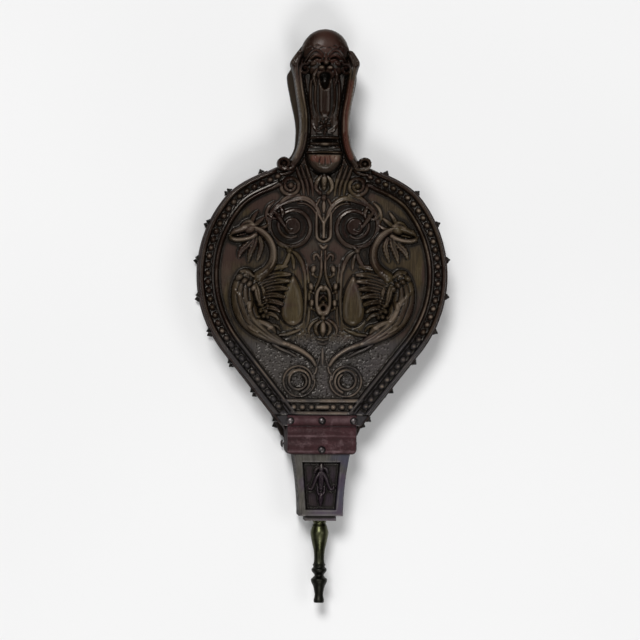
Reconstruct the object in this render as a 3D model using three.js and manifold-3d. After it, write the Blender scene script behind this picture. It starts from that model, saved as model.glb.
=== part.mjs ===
// A carved walnut hand bellows for a hearth or a small forge: two pear-shaped boards with handles, joined at
// a nozzle block by a leather hinge and all round by a folded leather gusset, with a clack valve in the back
// board and a turned brass nozzle. It lies on its back board, closed. Millimetres, +Z up, handles towards +Y.
import * as THREE from "three";
import { mergeVertices } from "three/addons/utils/BufferGeometryUtils.js";
import Module from "manifold-3d";

const wasm = await Module();
wasm.setup();

// ---- Driving dimensions ----
const LENGTH = 689; // handle top to nozzle tip
const BODY_R = 150; // round part of the pear, over the edge bands
const BODY_Y = 50; // centre of the round part
const HINGE_Y = -131; // line where the hinge leather folds
const BLOCK_HEAD_END_Y = -164; // end of the part of the nozzle block that the leather covers
const BLOCK_END_Y = -239;
const STEP_END_Y = -245; // end of the block's stepped tip
const HEAD_HALF = 41; // half width of the block's head, and of the back board under it

const BACK_THICK = 16;
const GAP = 34; // between the boards when closed
const FRONT_THICK = 10; // front board at the carved ground
const RIM_HEIGHT = 5; // border moulding above the ground
const LEATHER = 2;
const BAND_THICK = 1.6;
const CLEAR = 0.3; // between pieces that touch

const NAILS_PER_SIDE = 9; // along the front board's edge; the back board has the same but for the first
const FIRST_NAIL = 7; // from the start of the band
const NAIL_SPIKE = 5; // how far an edge nail's point stands out of its band

// ---- Levels worked out from them ----
const TOP_Y = LENGTH / 2;
const FRONT_Z = BACK_THICK + GAP; // underside of the front board
const FIELD_Z = FRONT_Z + FRONT_THICK; // carved ground of the front board
const RIM_Z = FIELD_Z + RIM_HEIGHT;
const WOOD_R = BODY_R - BAND_THICK - CLEAR;
const DUCT_Z = 33; // height of the air duct and the nozzle's axis

const COLOURS = {
  walnut: { color: 0x3a2a1f, roughness: 0.42, metalness: 0 },
  block: { color: 0x3c3028, roughness: 0.45, metalness: 0 },
  leather: { color: 0x43282a, roughness: 0.55, metalness: 0 },
  gusset: { color: 0x33211d, roughness: 0.6, metalness: 0 },
  ash: { color: 0x8d6f4a, roughness: 0.7, metalness: 0 },
  brass: { color: 0x55522f, roughness: 0.35, metalness: 1 },
  nail: { color: 0x3a3430, roughness: 0.4, metalness: 1 },
};

// ---- Solids ----
const V2 = (x, y) => new THREE.Vector2(x, y);
const V3 = (x, y, z) => new THREE.Vector3(x, y, z);

function solid(geometry) {
  const bare = geometry.index ? geometry.toNonIndexed() : geometry.clone();
  bare.deleteAttribute("normal");
  bare.deleteAttribute("uv");
  const merged = mergeVertices(bare, 1e-4);
  const made = new wasm.Manifold(
    new wasm.Mesh({
      numProp: 3,
      vertProperties: merged.attributes.position.array,
      triVerts: new Uint32Array(merged.index.array),
    }),
  );
  return made;
}

function geometryOf(manifold) {
  const mesh = manifold.getMesh();
  return new THREE.BufferGeometry()
    .setAttribute("position", new THREE.BufferAttribute(new Float32Array(mesh.vertProperties), 3))
    .setIndex(new THREE.BufferAttribute(new Uint32Array(mesh.triVerts), 1))
    .toNonIndexed();
}

const join = (first, ...others) => others.reduce((sum, other) => sum.add(other), first);
const cut = (first, ...others) => others.reduce((rest, other) => rest.subtract(other), first);

// A flat outline in X and Y, extruded from z0 to z1.
function slab(points, z0, z1) {
  return solid(
    new THREE.ExtrudeGeometry(new THREE.Shape(points), { depth: z1 - z0, bevelEnabled: false }).translate(0, 0, z0),
  );
}

// A box from its lowest to its highest corner.
function block(low, high) {
  const size = high.clone().sub(low);
  const centre = low.clone().add(high).multiplyScalar(0.5);
  return solid(new THREE.BoxGeometry(size.x, size.y, size.z).translate(centre.x, centre.y, centre.z));
}

// A half-sunk ellipsoid, for a carved boss.
function boss(centre, radii, around = 12, rings = 6) {
  return solid(
    new THREE.SphereGeometry(1, around, rings)
      .rotateX(Math.PI / 2)
      .scale(radii.x, radii.y, radii.z)
      .translate(centre.x, centre.y, centre.z),
  );
}

// An upright disc, for a volute or a hole along Z.
function disc(x, y, r, z0, z1, sides = 16) {
  return solid(
    new THREE.CylinderGeometry(r, r, z1 - z0, sides).rotateX(Math.PI / 2).translate(x, y, (z0 + z1) / 2),
  );
}

// A round bar along Y.
function barAlongY(r, y0, y1, z, sides = 20) {
  return solid(new THREE.CylinderGeometry(r, r, y1 - y0, sides).translate(0, (y0 + y1) / 2, z));
}

// A carved stem: a tube of even thickness along hand-placed points.
function stem(points, r) {
  const path = new THREE.CatmullRomCurve3(points);
  const section = new THREE.Shape(new THREE.Path().absarc(0, 0, r, 0, 2 * Math.PI, false).getPoints(3).slice(0, -1));
  return solid(new THREE.ExtrudeGeometry(section, { steps: 2 * points.length, extrudePath: path, bevelEnabled: false }));
}

// A body swept along a flat path. sectionAt(point) gives the section's outline there as points (inward
// distance, z), and every section has the same number of points.
function sweep(path, sectionAt) {
  const section = (point) => {
    const outline = sectionAt(point);
    return THREE.ShapeUtils.isClockWise(outline) ? outline.reverse() : outline;
  };
  const rings = path.map(({ point, inward }) =>
    section(point).map(({ x: n, y: z }) => V3(point.x + inward.x * n, point.y + inward.y * n, z)),
  );
  const sides = rings[0].length;
  const triangles = [];
  for (let i = 0; i + 1 < rings.length; i++)
    for (let k = 0; k < sides; k++) {
      const [a, b] = [rings[i][k], rings[i][(k + 1) % sides]];
      const [c, d] = [rings[i + 1][k], rings[i + 1][(k + 1) % sides]];
      triangles.push(a, c, b, b, c, d);
    }
  const capOf = ({ point }) => THREE.ShapeUtils.triangulateShape(section(point), []);
  for (const [i, j, k] of capOf(path[0])) triangles.push(rings[0][i], rings[0][j], rings[0][k]);
  const last = rings[rings.length - 1];
  for (const [i, j, k] of capOf(path[path.length - 1])) triangles.push(last[i], last[k], last[j]);
  const made = solid(new THREE.BufferGeometry().setFromPoints(triangles));
  if (made.volume() > 0) return made;
  const turned = [];
  for (let i = 0; i < triangles.length; i += 3) turned.push(triangles[i], triangles[i + 2], triangles[i + 1]);
  return solid(new THREE.BufferGeometry().setFromPoints(turned));
}

// ---- The pear outline ----
// The round part runs into straight sides that close in on the nozzle block. The sides' slope is fixed by
// where they meet the block's head.
const SIDE_ANGLE = Math.atan(0.79); // of the straight sides, from the Y axis

// How much the round part is flattened towards the handles.
function shoulderDrop(angle) {
  const t = THREE.MathUtils.clamp((0.9 - angle) / 0.45, 0, 1);
  return 8 * t * t * (3 - 2 * t);
}

// The pear's right edge at an angle from the handle end, inset square to it: {point, inward}.
function onRound(angle, inset) {
  const at = (a) => {
    const r = BODY_R - shoulderDrop(a);
    return V2(r * Math.sin(a), BODY_Y + r * Math.cos(a));
  };
  const ahead = at(angle + 1e-4).sub(at(angle)).normalize();
  const inward = V2(ahead.y, -ahead.x);
  return { point: at(angle).addScaledVector(inward, inset), inward };
}
const TANGENT = Math.PI / 2 + SIDE_ANGLE; // where the round part ends

function onSide(y, inset) {
  const start = onRound(TANGENT, inset).point;
  return V2(start.x - (start.y - y) * Math.tan(SIDE_ANGLE), y);
}

// The right half of the pear from an angle down to y, with the inward direction at each point.
function pearPath(fromAngle, endY, inset, arcSteps, sideSteps) {
  const path = [];
  for (let i = 0; i <= arcSteps; i++) {
    const angle = fromAngle + ((TANGENT - fromAngle) * i) / arcSteps;
    path.push(onRound(angle, inset));
  }
  const start = onRound(TANGENT, inset).point;
  const inward = V2(-Math.cos(SIDE_ANGLE), Math.sin(SIDE_ANGLE));
  for (let i = 1; i <= sideSteps; i++)
    path.push({ point: onSide(start.y + ((endY - start.y) * i) / sideSteps, inset), inward });
  return path;
}

// The back board's edge leaves the front one's near the hinge and runs more steeply down to its tongue, beside
// the block's head. The path takes its last part in two steps.
const BACK_TURN_Y = -118;
const TONGUE = V2(45, -146.5);
function backPath(fromAngle, endY, inset, arcSteps, sideSteps) {
  const path = pearPath(fromAngle, BACK_TURN_Y, inset, arcSteps, sideSteps);
  const top = onSide(BACK_TURN_Y, 0);
  const run = TONGUE.clone().sub(top).normalize();
  const inward = V2(run.y, -run.x);
  for (const part of [0.5, 1]) {
    const along = (part * (endY - BACK_TURN_Y)) / run.y;
    path.push({ point: top.clone().addScaledVector(run, along).addScaledVector(inward, inset), inward });
  }
  return path;
}

const mirrored = (points) => points.map((p) => V2(-p.x, p.y)).reverse();
const mirroredPath = (path) =>
  path.map(({ point, inward }) => ({ point: V2(-point.x, point.y), inward: V2(-inward.x, inward.y) }));

// ---- Board outlines ----
const SHOULDER_ANGLE = 0.5; // where the pear's edge meets the root of the handles
const EDGE_INSET = BODY_R - WOOD_R;

// The front handle's right side, from the domed end down to the scroll at its root.
const DOME_R = 28.5;
function handleSide() {
  const dome = new THREE.Path().absarc(0, TOP_Y - DOME_R, DOME_R, Math.PI / 2, 0.12, true).getPoints(8);
  const rail = new THREE.SplineCurve([
    V2(33, 318),
    V2(38, 311),
    V2(41.5, 303),
    V2(38, 290),
    V2(34, 266),
    V2(30, 238),
    V2(30, 220),
    V2(33, 202),
    V2(40.5, 187),
  ]).getPoints(14);
  return [...dome, ...rail];
}

const SCROLL = { x: 48.5, y: 183.5, r: 8 }; // scroll that ends the handle's rail

function frontOutline() {
  const scroll = new THREE.Path().absarc(SCROLL.x, SCROLL.y, SCROLL.r, 2.7, -0.7, true).getPoints(6);
  const pear = pearPath(SHOULDER_ANGLE, HINGE_Y + 0.5, EDGE_INSET, 18, 2).map(({ point }) => point);
  const right = [...handleSide().slice(1), ...scroll, V2(60, 176), ...pear];
  return [V2(0, TOP_Y), ...right, ...mirrored(right)].reverse();
}

// The back board has the same pear, a plainer handle, and a tongue under the nozzle block.
const BACK_TOP_Y = TOP_Y - 5;
function backOutline() {
  const dome = new THREE.Path().absarc(0, BACK_TOP_Y - 33, 33, Math.PI / 2, 0.1, true).getPoints(7);
  const side = new THREE.SplineCurve([
    V2(38, 300),
    V2(42, 290),
    V2(38, 266),
    V2(32, 238),
    V2(31, 220),
    V2(34, 200),
    V2(48, 182),
    V2(60, 176),
  ]).getPoints(12);
  const pear = backPath(SHOULDER_ANGLE, TONGUE.y, EDGE_INSET, 18, 2).map(({ point }) => point);
  const tongue = [V2(HEAD_HALF, TONGUE.y - 1.5), V2(HEAD_HALF, BLOCK_HEAD_END_Y + 6), V2(HEAD_HALF - 6, BLOCK_HEAD_END_Y)];
  const right = [...dome.slice(1), ...side, ...pear, ...tongue];
  return [V2(0, BACK_TOP_Y), ...right, ...mirrored(right)].reverse();
}

// The pear without handles, inset, and closed straight across at endY.
function pearOutline(inset, endY) {
  const right = pearPath(0, endY, inset, 18, 2).map(({ point }) => point);
  return [...right, ...mirrored(right.slice(1))].reverse();
}

// ---- Edge nails ----
// Each nail has a pointed head and a shank, and points outwards from the edge. Its frame has +Y outwards and
// its origin on the band's outer face.
const NAIL = { headR: 4.2, rim: 1.2, shankR: 1.1, shankLength: 11 };

function nailProfile(spike) {
  return [
    V2(0, -NAIL.shankLength),
    V2(NAIL.shankR, -NAIL.shankLength + 3),
    V2(NAIL.shankR, CLEAR),
    V2(NAIL.headR, CLEAR),
    V2(NAIL.headR * 0.92, CLEAR + NAIL.rim),
    V2(NAIL.headR * 0.5, CLEAR + NAIL.rim + (spike - NAIL.rim) * 0.4),
    V2(0, CLEAR + spike),
  ];
}

function domedProfile(r, height) {
  const profile = [V2(0, -8), V2(0.9, -6), V2(0.9, CLEAR)];
  for (let i = 0; i <= 4; i++) {
    const angle = (i / 4) * (Math.PI / 2);
    profile.push(V2(i === 4 ? 0 : r * Math.cos(angle), CLEAR + height * Math.sin(angle)));
  }
  return profile;
}

const latheGeometry = (profile, sides) => new THREE.LatheGeometry(profile, sides);

// Where the nails of one side stand: at even steps along the pear's edge.
function nailPlaces(fine) {
  const lengths = [0];
  for (let i = 1; i < fine.length; i++) lengths.push(lengths[i - 1] + fine[i].point.distanceTo(fine[i - 1].point));
  const total = lengths[lengths.length - 1];
  return Array.from({ length: NAILS_PER_SIDE }, (_, k) => {
    const wanted = FIRST_NAIL + ((total - FIRST_NAIL) * k) / (NAILS_PER_SIDE - 1);
    return fine[lengths.findIndex((length) => length >= wanted - 1e-9)];
  });
}

// A nail driven inwards from the edge, as {position, turn}.
function nailPose({ point, inward }, z, side) {
  const outward = V3(-inward.x * side, -inward.y, 0).normalize();
  return {
    position: V3(point.x * side, point.y, z),
    turn: new THREE.Quaternion().setFromUnitVectors(V3(0, 1, 0), outward),
  };
}

const FRONT_NAIL_Z = FRONT_Z + 6;
const BACK_NAIL_Z = BACK_THICK / 2;
const frontNails = nailPlaces(pearPath(SHOULDER_ANGLE, -122, 0, 60, 30));
const backNails = nailPlaces(backPath(SHOULDER_ANGLE, -131, 0, 60, 30)).slice(1);
const edgeNails = [];
for (const [board, z, places] of [["front", FRONT_NAIL_Z, frontNails], ["back", BACK_NAIL_Z, backNails]])
  for (const [side, s] of [["left", -1], ["right", 1]])
    places.forEach((place, i) =>
      edgeNails.push({ board, name: `${board}_nail_${side}_${i + 1}`, ...nailPose(place, z, s) }),
    );

// Nails through the hinge leather: three through the strip on the front board, one through the saddle, and
// one low on each of the saddle's flaps.
const STRIP_NAIL_Y = HINGE_Y + 6.5;
const SADDLE_NAIL_Y = BLOCK_HEAD_END_Y + 5;
const FLAP_NAIL = { y: -153.5, z: 8 };
const LEATHER_TOP = FIELD_Z + CLEAR + LEATHER;
const up = new THREE.Quaternion().setFromUnitVectors(V3(0, 1, 0), V3(0, 0, 1));
const sideways = (side) => new THREE.Quaternion().setFromUnitVectors(V3(0, 1, 0), V3(side, 0, 0));
const FLAP_X = HEAD_HALF + CLEAR + LEATHER;
const hingeNails = [
  { board: "front", name: "hinge_strip_nail_left", position: V3(-38, STRIP_NAIL_Y, LEATHER_TOP), turn: up },
  { board: "front", name: "hinge_strip_nail_centre", position: V3(0, STRIP_NAIL_Y, LEATHER_TOP), turn: up },
  { board: "front", name: "hinge_strip_nail_right", position: V3(38, STRIP_NAIL_Y, LEATHER_TOP), turn: up },
  { board: "back", name: "hinge_saddle_nail", position: V3(0, SADDLE_NAIL_Y, LEATHER_TOP), turn: up },
  { board: "back", name: "saddle_flap_nail_left", position: V3(-FLAP_X, FLAP_NAIL.y, FLAP_NAIL.z), turn: sideways(-1) },
  { board: "back", name: "saddle_flap_nail_right", position: V3(FLAP_X, FLAP_NAIL.y, FLAP_NAIL.z), turn: sideways(1) },
];

// The hole that a nail's shank needs, a little wider and deeper than the shank.
function shankHole({ position, turn }, r, length) {
  const hole = new THREE.CylinderGeometry(r + CLEAR, r + CLEAR, length + 6, 6).translate(0, 6 - (length + 6) / 2 - CLEAR, 0);
  return solid(hole.applyQuaternion(turn).translate(position.x, position.y, position.z));
}
const edgeHoles = (board) =>
  edgeNails.filter((nail) => nail.board === board).map((nail) => shankHole(nail, NAIL.shankR, NAIL.shankLength));
const hingeHoles = (...names) =>
  hingeNails.filter((nail) => names.some((name) => nail.name.startsWith(name))).map((nail) => shankHole(nail, 0.9, 8));

// ---- Wooden parts ----
// Carved ornament on the front board, kept to its main masses.
function frontCarving() {
  const masses = [
    boss(V3(0, 182, FIELD_Z + 2), V3(20.5, 11, 10)), // gadrooned cup at the handle's root
    boss(V3(0, TOP_Y - 31, FIELD_Z + 2), V3(27, 30, 17), 16, 8), // domed brow of the mask
    boss(V3(0, 300, FIELD_Z + 4), V3(14, 12, 16)), // the mask's muzzle
    boss(V3(0, -3, FIELD_Z), V3(7, 34, 5.5)), // middle ornament
  ];
  for (const s of [-1, 1]) {
    masses.push(
      disc(s * SCROLL.x, SCROLL.y, SCROLL.r - 0.5, FRONT_Z, FIELD_Z + 9), // scroll at the rail's end
      boss(V3(s * 41, 303, FIELD_Z + 3), V3(5.5, 5.5, 5.5), 10, 6), // curl beside the mask
      disc(s * 40, 156, 13, FIELD_Z - 1, FIELD_Z + 5), // small volute
      disc(s * 41.5, 108, 20, FIELD_Z - 1, FIELD_Z + 4), // large volute
      disc(s * 27, -76, 15, FIELD_Z - 1, FIELD_Z + 3.5), // the dragon's tail volute
      boss(V3(s * 90, 22, FIELD_Z), V3(23, 29, 10)), // the dragon's chest
      boss(V3(s * 62, 16, FIELD_Z), V3(26, 16, 6)), // its wing
      boss(V3(s * 101, 101, FIELD_Z + 1), V3(15, 8, 8)), // its head
      stem([V3(s * 88, 110, FIELD_Z), V3(s * 70, 104, FIELD_Z + 2), V3(s * 57, 76, FIELD_Z + 3),
        V3(s * 66, 52, FIELD_Z + 2), V3(s * 80, 40, FIELD_Z)], 5), // its neck
      stem([V3(s * 88, 6, FIELD_Z), V3(s * 66, -16, FIELD_Z + 1), V3(s * 40, -34, FIELD_Z + 2),
        V3(s * 12, -52, FIELD_Z + 1), V3(s * 8, -66, FIELD_Z)], 4), // its tail
    );
  }
  return join(...masses);
}

function frontBoard() {
  const outline = frontOutline();
  const board = slab(outline, FRONT_Z, FIELD_Z);
  const BORDER_END_Y = HINGE_Y + 13.5; // the border stops above the hinge strip
  const raised = slab(outline, FIELD_Z - 1, RIM_Z);
  const lip = block(V3(-80, HINGE_Y - 5, FIELD_Z), V3(80, BORDER_END_Y, RIM_Z + 5));
  const field = slab(pearOutline(23, BORDER_END_Y + 17), FIELD_Z, RIM_Z + 5);
  const trim = block(V3(-200, -200, 0), V3(200, 400, FRONT_Z)); // the carving stays above the underside
  return cut(
    join(board, cut(raised, lip, field), cut(frontCarving(), trim)),
    ...edgeHoles("front"),
    ...hingeHoles("hinge_strip"),
  );
}

const VALVE = { y: 45, r: 17 };
const TACK = { x: 16, y: VALVE.y + 32 };
function backBoard() {
  const board = slab(backOutline(), 0, BACK_THICK);
  const inlet = disc(0, VALVE.y, VALVE.r, -1, BACK_THICK + 1, 28);
  const tackHoles = [-1, 1].map((s) => disc(s * TACK.x, TACK.y, 0.9 + CLEAR, BACK_THICK - 7, BACK_THICK + 1, 6));
  return cut(board, inlet, ...tackHoles, ...screwHoles(0), ...edgeHoles("back"), ...hingeHoles("saddle_flap"));
}

// The block's head lies on the back board's tongue, under the leather. Below it the block shows, tapering in
// width and thickness to its stepped tip.
const BLOCK_TOP_Z = FIELD_Z;
function nozzleBlock() {
  const neckAt = ({ y }) => {
    const t = (y - BLOCK_HEAD_END_Y) / (BLOCK_END_Y - BLOCK_HEAD_END_Y);
    const half = 26.7 + 7.5 * (1 - t) ** 2;
    const low = 3 + 9 * t;
    const high = BLOCK_TOP_Z - 6 * t;
    return [V2(-half, low), V2(-half, high), V2(half, high), V2(half, low)];
  };
  const rings = 8;
  const run = Array.from({ length: rings + 1 }, (_, i) => ({
    point: V2(0, BLOCK_HEAD_END_Y + ((BLOCK_END_Y - BLOCK_HEAD_END_Y) * i) / rings),
    inward: V2(1, 0),
  }));
  const neck = sweep(run, neckAt);
  const head = slab(
    [V2(HEAD_HALF, HINGE_Y - 0.5), V2(HEAD_HALF, BLOCK_HEAD_END_Y + 6), V2(HEAD_HALF - 6, BLOCK_HEAD_END_Y - 0.01),
      V2(6 - HEAD_HALF, BLOCK_HEAD_END_Y - 0.01), V2(-HEAD_HALF, BLOCK_HEAD_END_Y + 6), V2(-HEAD_HALF, HINGE_Y - 0.5)].reverse(),
    BACK_THICK + CLEAR,
    BLOCK_TOP_Z,
  );
  const step = block(V3(-19, STEP_END_Y, 17), V3(19, BLOCK_END_Y + 1, 49));
  const gapUnder = block(V3(-50, BLOCK_HEAD_END_Y - CLEAR, -1), V3(50, HINGE_Y, BACK_THICK + CLEAR));
  const panelAt = [V2(-23, -174), V2(23, -174), V2(18.5, -232), V2(-18.5, -232)].reverse();
  const panel = slab(panelAt, BLOCK_TOP_Z - 8, BLOCK_TOP_Z + 1);
  const ornament = boss(V3(0, -200, BLOCK_TOP_Z - 8), V3(6, 20, 5));
  const duct = barAlongY(9, SHANK_TOP_Y + 0.5, HINGE_Y + 1, DUCT_Z, 16);
  const socket = barAlongY(SHANK_R + CLEAR, STEP_END_Y - 1, SHANK_TOP_Y + 1, DUCT_Z, 16);
  return cut(
    join(cut(join(neck, head, step), gapUnder, panel), ornament),
    duct,
    socket,
    ...screwHoles(0),
    ...hingeHoles("hinge_saddle"),
  );
}

// Two countersunk screws hold the block to the tongue from behind.
const SCREW = { y: -150, x: 22, headR: 4.4, shankR: 2.2, length: 34, sink: 1 };
function screwProfile(extra) {
  const [head, shank] = [SCREW.headR + extra, SCREW.shankR + extra];
  return [V2(0, SCREW.sink - extra), V2(head, SCREW.sink - extra), V2(head, SCREW.sink + 1), V2(shank, SCREW.sink + 3.6),
    V2(shank, SCREW.length - 5), V2(0, SCREW.length + extra)];
}
function screwHoles() {
  return [-1, 1].map((s) => {
    const clearance = new THREE.LatheGeometry([V2(0, -1), V2(SCREW.headR + CLEAR, -1), ...screwProfile(CLEAR).slice(2)], 12);
    return solid(clearance.rotateX(Math.PI / 2).translate(s * SCREW.x, SCREW.y, 0));
  });
}

// ---- Brass nozzle ----
const SHANK_R = 7.4;
const SHANK_TOP_Y = -218; // inner end of the nozzle's shank
const NOZZLE_BORE = 3.5;
function brassNozzle() {
  // (radius, distance from the block's tip) down the turned outside, between rounded changes of direction
  const outside = [
    V2(7.9, 0.3), V2(7.6, 3.5), V2(9.4, 8), V2(10.9, 14), V2(10.6, 20), V2(8.8, 28), V2(6.7, 37), V2(6.2, 44), V2(6.6, 52),
    V2(9.2, 59.5), V2(8.6, 62), V2(5.8, 66.5), V2(9.8, 71.5), V2(9.4, 74), V2(7, 82), V2(5.4, 90), V2(6.3, 96),
  ];
  const tip = TOP_Y + STEP_END_Y; // from the block's tip to the nozzle's end
  const inner = STEP_END_Y - SHANK_TOP_Y;
  const profile = [
    V2(NOZZLE_BORE + 1.3, inner),
    V2(SHANK_R, inner),
    V2(SHANK_R, 0.3),
    ...outside,
    V2(6.1, tip),
    V2(NOZZLE_BORE, tip),
    V2(NOZZLE_BORE, 20),
    V2(NOZZLE_BORE + 1.3, inner),
  ];
  const points = profile.map((p) => V2(p.x, -p.y)).reverse();
  return solid(new THREE.LatheGeometry(points, 18).translate(0, STEP_END_Y, 0).translate(0, 0, DUCT_Z));
}

// ---- Leather ----
// The gusset: one fold that runs inwards between two puffs, all round the pear from one side of the nozzle
// block to the other. The further from the hinge, the deeper the fold, so that it pulls flat all round at once
// when the boards are open at their widest.
const foldDepth = (y) => 6 + 0.13 * (y - HINGE_Y);
function gussetSection({ y }) {
  const depth = foldDepth(y);
  const low = BACK_THICK + CLEAR;
  const high = FRONT_Z - CLEAR;
  const middle = (low + high) / 2;
  const wall = 2.6;
  return [
    V2(2.2, low), V2(1.2, low + 8.5), V2(depth, middle - 0.4), V2(depth, middle + 0.4), V2(1.2, high - 8.5), V2(2.2, high),
    V2(5.2, high), V2(4.6, high - 6.8), V2(depth + wall, middle + 1), V2(depth + wall, middle - 1),
    V2(4.6, low + 6.8), V2(5.2, low),
  ];
}
function gussetPath(endY) {
  const right = pearPath(0, endY, 0, 16, 4);
  return [...mirroredPath(right.slice(1)).reverse(), ...right];
}
const gusset = () => sweep(gussetPath(-128.5), gussetSection);

// The bent-wood hoop that keeps the fold in shape. It lies just inside the fold's inner edge.
const HOOP = { thick: 4.5, low: 28.5, high: 37.5, endY: -66 };
function hoop() {
  const section = ({ y }) => {
    const outer = foldDepth(y) + 3.4;
    const inner = outer + HOOP.thick;
    return [V2(outer, HOOP.low), V2(outer, HOOP.high), V2(inner, HOOP.high), V2(inner, HOOP.low)];
  };
  return sweep(gussetPath(HOOP.endY), section);
}

// A leather band over the gusset's edge, nailed to the side of a board.
function band(right, z0, z1, side, board) {
  const path = side > 0 ? right : mirroredPath(right);
  const section = () => [V2(0, z0), V2(0, z1), V2(BAND_THICK, z1), V2(BAND_THICK, z0)];
  return cut(sweep(path, section), ...edgeHoles(board));
}

// The hinge leather: a strip on the front board's lip, and a saddle over the block's head with a flap down
// each side. They part at the fold, where the real leather runs through.
const STRIP_HALF = 44;
const hingeStrip = () =>
  cut(
    block(V3(-STRIP_HALF, HINGE_Y + 0.2, FIELD_Z + CLEAR), V3(STRIP_HALF, HINGE_Y + 13, LEATHER_TOP)),
    ...hingeHoles("hinge_strip"),
  );

function hingeSaddle() {
  const inner = HEAD_HALF + CLEAR;
  const outer = inner + LEATHER;
  const bottom = 3;
  const shape = new THREE.Shape([
    V2(-outer, bottom), V2(-outer, LEATHER_TOP - 3), V2(3 - outer, LEATHER_TOP), V2(outer - 3, LEATHER_TOP),
    V2(outer, LEATHER_TOP - 3), V2(outer, bottom), V2(inner, bottom), V2(inner, FIELD_Z + CLEAR), V2(-inner, FIELD_Z + CLEAR),
    V2(-inner, bottom),
  ]);
  const [y0, y1] = [BLOCK_HEAD_END_Y + 6, HINGE_Y - 0.2];
  const along = new THREE.ExtrudeGeometry(shape, { depth: y1 - y0, bevelEnabled: false }).rotateX(Math.PI / 2).translate(0, y1, 0);
  const apron = block(V3(6 - HEAD_HALF, BLOCK_HEAD_END_Y - 0.5, FIELD_Z + CLEAR), V3(HEAD_HALF - 6, y0 + 1, LEATHER_TOP));
  const notch = block(V3(-60, TONGUE.y - 2, -1), V3(60, HINGE_Y + 1, BACK_THICK + CLEAR)); // clears the back board
  return cut(join(solid(along), apron), notch, ...hingeHoles("hinge_saddle", "saddle_flap"));
}

// ---- Clack valve ----
const FLAP_HALF = 23;
const FLAP_HINGE_Y = VALVE.y + 25;
const FLAP_Z = BACK_THICK + CLEAR;
const valveFlap = () => block(V3(-FLAP_HALF, VALVE.y - 24, FLAP_Z), V3(FLAP_HALF, FLAP_HINGE_Y - 0.2, FLAP_Z + LEATHER));
const valveTab = () =>
  cut(
    block(V3(-FLAP_HALF, FLAP_HINGE_Y + 0.2, FLAP_Z), V3(FLAP_HALF, FLAP_HINGE_Y + 14, FLAP_Z + LEATHER)),
    ...[-1, 1].map((s) => disc(s * TACK.x, TACK.y, 0.9 + CLEAR, 0, 40, 6)),
  );
const valveBoard = () => {
  const z = FLAP_Z + LEATHER + CLEAR;
  return block(V3(-19, VALVE.y - 19.5, z), V3(19, VALVE.y + 18.5, z + 4));
};

// ---- Assembly ----
const bellows = new THREE.Group();
bellows.name = "bellows";

function add(name, finish, geometry, pose = {}) {
  const mesh = new THREE.Mesh(geometry, new THREE.MeshStandardMaterial(COLOURS[finish]));
  mesh.name = name;
  if (pose.position) mesh.position.copy(pose.position);
  if (pose.turn) mesh.quaternion.copy(pose.turn);
  bellows.add(mesh);
}

add("front_board", "walnut", geometryOf(frontBoard()));
add("back_board", "walnut", geometryOf(backBoard()));
add("nozzle_block", "block", geometryOf(nozzleBlock()));
add("brass_nozzle", "brass", geometryOf(brassNozzle()));
add("gusset_leather", "gusset", geometryOf(gusset()));
add("gusset_hoop", "ash", geometryOf(hoop()));
for (const [side, s] of [["left", -1], ["right", 1]]) {
  const frontBand = band(pearPath(SHOULDER_ANGLE, HINGE_Y + 3, 0, 18, 2), FRONT_Z + 0.5, FRONT_Z + 11.5, s, "front");
  const backBand = band(backPath(SHOULDER_ANGLE, TONGUE.y + 2.5, 0, 18, 2), 2, BACK_THICK - 0.5, s, "back");
  add(`front_band_${side}`, "gusset", geometryOf(frontBand));
  add(`back_band_${side}`, "gusset", geometryOf(backBand));
}
add("hinge_strip", "leather", geometryOf(hingeStrip()));
add("hinge_saddle", "leather", geometryOf(hingeSaddle()));
add("valve_flap", "gusset", geometryOf(valveFlap()));
add("valve_flap_board", "ash", geometryOf(valveBoard()));
add("valve_hinge_tab", "gusset", geometryOf(valveTab()));

for (const nail of edgeNails) add(nail.name, "nail", latheGeometry(nailProfile(NAIL_SPIKE), 6), nail);
for (const nail of hingeNails) add(nail.name, "nail", latheGeometry(domedProfile(4.6, 3), 10), nail);
for (const [side, s] of [["left", -1], ["right", 1]]) {
  const tack = V3(s * TACK.x, TACK.y, FLAP_Z + LEATHER);
  add(`valve_tack_${side}`, "nail", latheGeometry(domedProfile(3.4, 2), 8), { position: tack, turn: up });
  const screw = latheGeometry(screwProfile(0), 12).rotateX(Math.PI / 2);
  add(`block_screw_${side}`, "nail", screw, { position: V3(s * SCREW.x, SCREW.y, 0) });
}

export default bellows;
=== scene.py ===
"""Looks for the walnut hand bellows: carved boards, leather, nails and brass over the fixed frame."""

import math

import bmesh
import bpy
import numpy as np
from mathutils import Matrix, Vector


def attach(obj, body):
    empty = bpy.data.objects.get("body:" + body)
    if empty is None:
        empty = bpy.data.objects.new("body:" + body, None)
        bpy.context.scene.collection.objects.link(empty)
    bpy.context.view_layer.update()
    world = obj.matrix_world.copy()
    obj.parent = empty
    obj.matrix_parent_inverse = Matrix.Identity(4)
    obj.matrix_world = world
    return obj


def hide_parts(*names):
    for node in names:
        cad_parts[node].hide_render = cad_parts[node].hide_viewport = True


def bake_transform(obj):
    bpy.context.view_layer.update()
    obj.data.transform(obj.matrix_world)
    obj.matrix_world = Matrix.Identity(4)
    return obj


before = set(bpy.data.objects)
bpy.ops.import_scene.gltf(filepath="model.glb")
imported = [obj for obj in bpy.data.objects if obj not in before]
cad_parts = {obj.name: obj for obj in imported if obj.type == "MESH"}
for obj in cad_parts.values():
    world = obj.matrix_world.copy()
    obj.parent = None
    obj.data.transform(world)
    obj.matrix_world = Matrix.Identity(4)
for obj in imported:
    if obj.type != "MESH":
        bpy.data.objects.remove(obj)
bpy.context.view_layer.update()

MM = 0.001
CELL = 0.75  # spacing of the carved surfaces' points, in mm
rng = np.random.default_rng(7)

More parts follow.
